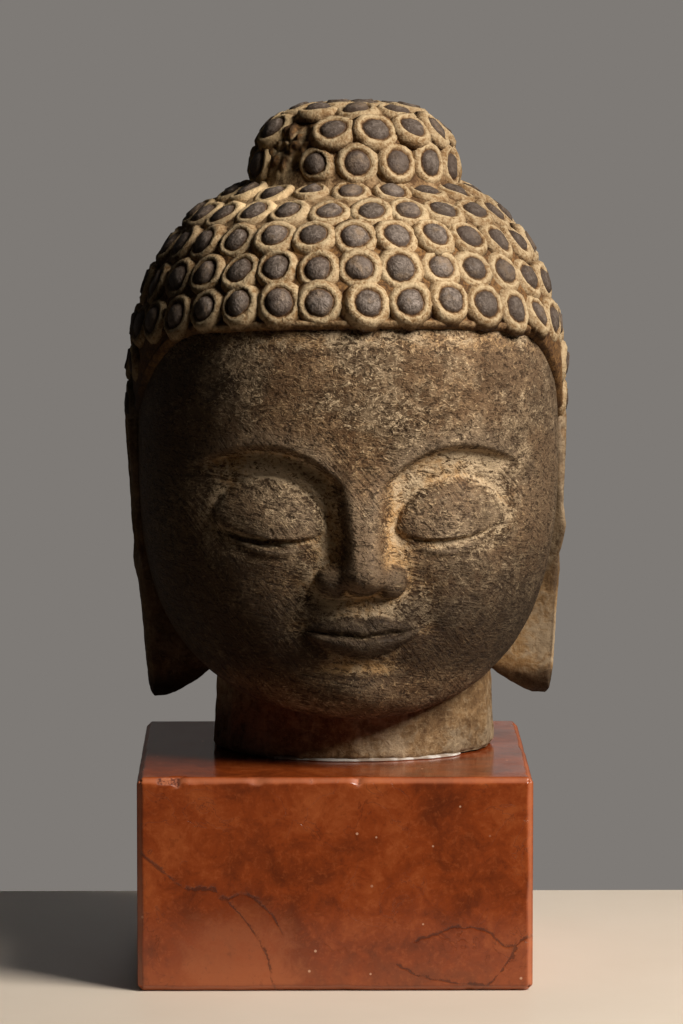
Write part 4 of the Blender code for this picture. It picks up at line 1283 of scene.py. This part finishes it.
TABLE_BACK = 0.105
TABLE_FRONT = -0.16
TABLE_HALF = 0.19
TABLE_THICKNESS = 0.03
TABLE_EDGE = 0.0015
LIGHTS_AIM = Vector((0.0, 0.0, 0.13))
# Degrees to the right of the front and up, distance, size, power, colour, and whether it is mirrored
LAMPS = {
    "lamp_right": (55, 37, 0.9, 0.42, 16.4, (1.0, 0.965, 0.915), True),
    "lamp_back": (180, 8, 1.5, 0.5, 3.9, (0.97, 0.98, 1.0), False),
    "pale_card": (172.3, 6.1, 1.5, 0.27, 0.06, (1.0, 0.90, 0.82), True),
}
# Place of the camera, degrees that it looks down and to the right, and its lens
CAMERA_PLACE = (-0.0126, -1.5408, 0.2952)
CAMERA_DOWN = 6.188
CAMERA_TURN = -0.554
CAMERA_LENS = 190.8


def table_top():
    """A board with softened edges, its top level with the foot of the block."""
    body = bmesh.new()
    size = Matrix.Diagonal((2 * TABLE_HALF, TABLE_BACK - TABLE_FRONT, TABLE_THICKNESS, 1))
    place = Matrix.Translation((0, (TABLE_BACK + TABLE_FRONT) / 2, block_low.z - TABLE_THICKNESS / 2))
    bmesh.ops.create_cube(body, size=1.0, matrix=place @ size)
    bmesh.ops.bevel(body, geom=body.edges[:], offset=TABLE_EDGE, segments=3, affect="EDGES")
    mesh = mesh_of("table_top", body)
    finish = Finish("pale board")
    colour = finish.blend(finish.cloud(60, 4, 0.6), tint(203, 189, 172), tint(193, 178, 160))
    mesh.materials.append(finish.done(Base_Color=colour, Roughness=0.6))
    link("table_top", mesh)


def lamp(name, azimuth, elevation, distance, size, power, colour, mirrored):
    """A square soft lamp that looks at the head."""
    light = bpy.data.lights.new(name, "AREA")
    light.size = size
    light.energy = power
    light.color = colour
    made = link(name, light)
    turn = math.radians(azimuth)
    rise = math.radians(elevation)
    away = Vector((math.sin(turn) * math.cos(rise), -math.cos(turn) * math.cos(rise), math.sin(rise)))
    made.location = LIGHTS_AIM + away * distance
    made.rotation_euler = away.to_track_quat("Z", "Y").to_euler()
    made.visible_glossy = mirrored
    made.visible_camera = False


def surroundings(seen, mirrored, cast):
    """An even grey behind the object, which mirrors darker than it shows and casts less light."""
    world = bpy.data.worlds.new("grey room")
    bpy.context.scene.world = world
    world.use_nodes = True
    graph = Graph(world.node_tree)
    path = graph.tree.nodes.new("ShaderNodeLightPath").outputs
    colour = graph.blend(Term(graph, path["Is Glossy Ray"]), cast, mirrored)
    colour = graph.blend(Term(graph, path["Is Camera Ray"]), colour, seen)
    graph.feed(graph.tree.nodes["Background"], {"Color": colour})


table_top()
for name, settings in LAMPS.items():
    lamp(name, *settings)
surroundings(tint(126, 122, 118), (0.080, 0.073, 0.068, 1.0), (0.003, 0.003, 0.003, 1.0))

camera = link("camera", bpy.data.cameras.new("camera"))
camera.location = CAMERA_PLACE
camera.rotation_euler = (math.radians(90 - CAMERA_DOWN), 0.0, math.radians(CAMERA_TURN))
camera.data.lens = CAMERA_LENS
camera.data.sensor_width = 36.0
bpy.context.scene.camera = camera
bpy.context.scene.view_settings.view_transform = "Standard"
